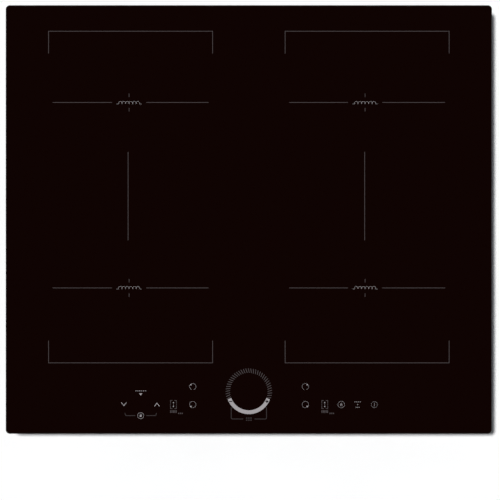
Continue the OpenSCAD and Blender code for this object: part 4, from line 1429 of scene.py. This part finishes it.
@dataclass
class SensorSprings:
    """The springs that press the temperature sensors against the glass.

    Attributes:
        wire: radius of the spring wire.
        turns: turns in one spring.
        flat: turns that lie flat at each end.
        play: clear space at each end, so that the wire never sinks into what it presses on.
        steps: points in one turn.
        sides: flats round the wire.
    """

    wire: float = 0.4
    turns: float = 3.5
    flat: float = 0.4
    play: float = 0.02
    steps: int = 28
    sides: int = 8

    def build(self, finish: Finish) -> None:
        """Builds the four springs in place of their plain CAD nodes.

        Args:
            finish: the spring wire's finish.
        """
        for row in ("front", "back"):
            for side in ("left", "right"):
                low, high = box_mm(f"sensor_spring_{row}_{side}")
                piece = self.spring(f"sensor_spring_wire_{row}_{side}", low, high)
                finish_piece(piece, finish, "root")
                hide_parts(f"sensor_spring_{row}_{side}")
                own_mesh(piece)

    def spring(self, name: str, low: Vector, high: Vector) -> bpy.types.Object:
        """Winds one spring that fills a box.

        Args:
            name: the piece's name.
            low: lowest corner of the box.
            high: its highest corner.

        Returns:
            The spring.
        """
        centre = (low + high) / 2
        radius = (high.x - low.x) / 2 - self.wire
        foot = low.z + self.play + self.wire
        rise = high.z - low.z - 2 * (self.play + self.wire)
        rings = round(self.turns * self.steps) + 1
        points: list[Place] = []
        for k in range(rings):
            turn = k / self.steps
            share = min(max((turn - self.flat) / (self.turns - 2 * self.flat), 0.0), 1.0)
            for j in range(self.sides):
                round_wire = math.tau * j / self.sides
                reach = radius + self.wire * math.cos(round_wire)
                points.append((
                    centre.x + reach * math.cos(math.tau * turn),
                    centre.y + reach * math.sin(math.tau * turn),
                    foot + rise * share + self.wire * math.sin(round_wire)))
        faces = [tuple(range(self.sides)), tuple(reversed(range(len(points) - self.sides, len(points))))]
        for k in range(rings - 1):
            for j in range(self.sides):
                a, b = k * self.sides + j, k * self.sides + (j + 1) % self.sides
                faces.append((a, a + self.sides, b + self.sides, b))
        piece = mesh_object(name, points, faces)
        # The wire is shaded round, but its two cut ends, the first faces, stay flat.
        for face in piece.data.polygons[2:]:
            face.use_smooth = True
        return piece


# ---------- studio ----------


@dataclass
class Studio:
    """A plain pale floor under a soft sky, one broad key lamp and the camera.

    Attributes:
        floor: radius of the floor in metres.
        key: strength of the key lamp.
        key_tilt: how far the key lamp leans, towards -X and +Y, in degrees.
        key_size: its width as seen from the hob, in degrees.
        lens: the camera's lens in millimetres.
        field: width of the view at the glass in millimetres.
        look: where the camera looks, from the middle of the glass, in millimetres.
        sky: the sky's sRGB colours, from the horizon at 0 to straight overhead at 1.
    """

    floor: float = 30.0
    key: float = 3.5
    key_tilt: Point = (8.6, 5.6)
    key_size: float = 5.0
    lens: float = 200.0
    field: float = 606.6
    look: Point = (1.4, -37.0)
    sky: tuple[tuple[float, str], ...] = (
        (0.0, "#ffffff"), (0.06, "#ffffff"), (0.18, "#838486"), (0.6, "#6c6d70"), (0.9, "#4c4d4f"),
        (0.955, "#0c0c0c"), (1.0, "#080808"))

    def build(self) -> None:
        """Builds the floor, the lights, the sky and the camera."""
        self.build_floor()
        self.build_key()
        self.build_sky()
        self.build_camera()
        bpy.context.scene.view_settings.view_transform = "Standard"

    def build_floor(self) -> None:
        """A round sheet of paper just under the hob."""
        sides, drop = 96, 0.3
        turns = [math.tau * k / sides for k in range(sides)]
        reach = self.floor * MM_PER_M
        rim = [(reach * math.cos(t), reach * math.sin(t), -drop) for t in turns]
        paper = mesh_object("studio_floor", rim, [tuple(range(len(rim)))])
        # Uncoated backdrop paper: white, matt, with cloudy fibre.
        sheet = Finish("paper_uncoated_backdrop", "#ebebeb", "#eeeeee", smooth=0.85, rough=0.95, grain=180.0)
        paper.data.materials.append(sheet.material())
        LOG.info("%s: %s", paper.name, sheet.name)

    def build_key(self) -> None:
        """The key lamp, nearly overhead, so that the rim's shadow stays close to it."""
        lamp = bpy.data.lights.new("studio_key", "SUN")
        lamp.energy = self.key
        lamp.angle = math.radians(self.key_size)
        key = bpy.data.objects.new("studio_key", lamp)
        left, back = (math.tan(math.radians(tilt)) for tilt in self.key_tilt)
        away = Vector((-left, back, 1))
        key.rotation_mode = "QUATERNION"
        key.rotation_quaternion = away.to_track_quat("Z", "Y")
        key.visible_glossy = False
        bpy.context.scene.collection.objects.link(key)

    def build_sky(self) -> None:
        """A sky that is pale at the horizon and dark overhead, where the glass would mirror it."""
        world = bpy.data.worlds.new("studio_sky")
        bpy.context.scene.world = world
        world.use_nodes = True
        tree = world.node_tree
        tree.nodes.clear()
        place = add_node(tree, "ShaderNodeTexCoord")
        axes = add_node(tree, "ShaderNodeSeparateXYZ", links={"Vector": place.outputs["Generated"]})
        stops = [(height, linear(colour)) for height, colour in self.sky]
        ramp = add_node(tree, "ShaderNodeValToRGB", {"stops": stops}, {"Fac": axes.outputs["Z"]})
        sky = add_node(tree, "ShaderNodeBackground", {"Strength": 1.0}, {"Color": ramp.outputs["Color"]})
        add_node(tree, "ShaderNodeOutputWorld", links={"Surface": sky.outputs["Background"]})

    def build_camera(self) -> None:
        """A long lens straight above, so that the glass keeps its true outline."""
        low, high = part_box("glass_top")
        data = bpy.data.cameras.new("studio_camera")
        data.lens = self.lens
        data.clip_end = 100.0  # far enough for the whole floor
        camera = bpy.data.objects.new("studio_camera", data)
        centre = (low + high) / 2
        distance = self.field / MM_PER_M * self.lens / data.sensor_width
        x, y = centre.x + self.look[0] / MM_PER_M, centre.y + self.look[1] / MM_PER_M
        camera.location = (x, y, high.z + distance)
        bpy.context.scene.collection.objects.link(camera)
        bpy.context.scene.camera = camera


# ---------- the whole hob ----------


def main() -> None:
    """Builds and dresses the hob from the glass down, then the studio round it."""
    logging.basicConfig(level=logging.INFO, format="%(name)s: %(message)s")
    glass = GlassTop()
    back, front = glass.centre("coil_winding_back_right"), glass.centre("coil_winding_front_right")
    dressing = Dressing(back, (back[1] + front[1]) / 2, glass.centre("terminal_block")[0])
    dressing.dress()
    glass.dress()
    glass.build()
    WeldSpots().build()
    CoverRibs().build(dressing.finishes()["terminal_plastic"])
    SensorSprings().build(dressing.finishes()["spring_steel"])
    Studio().build()


if __name__ == "__main__":
    main()
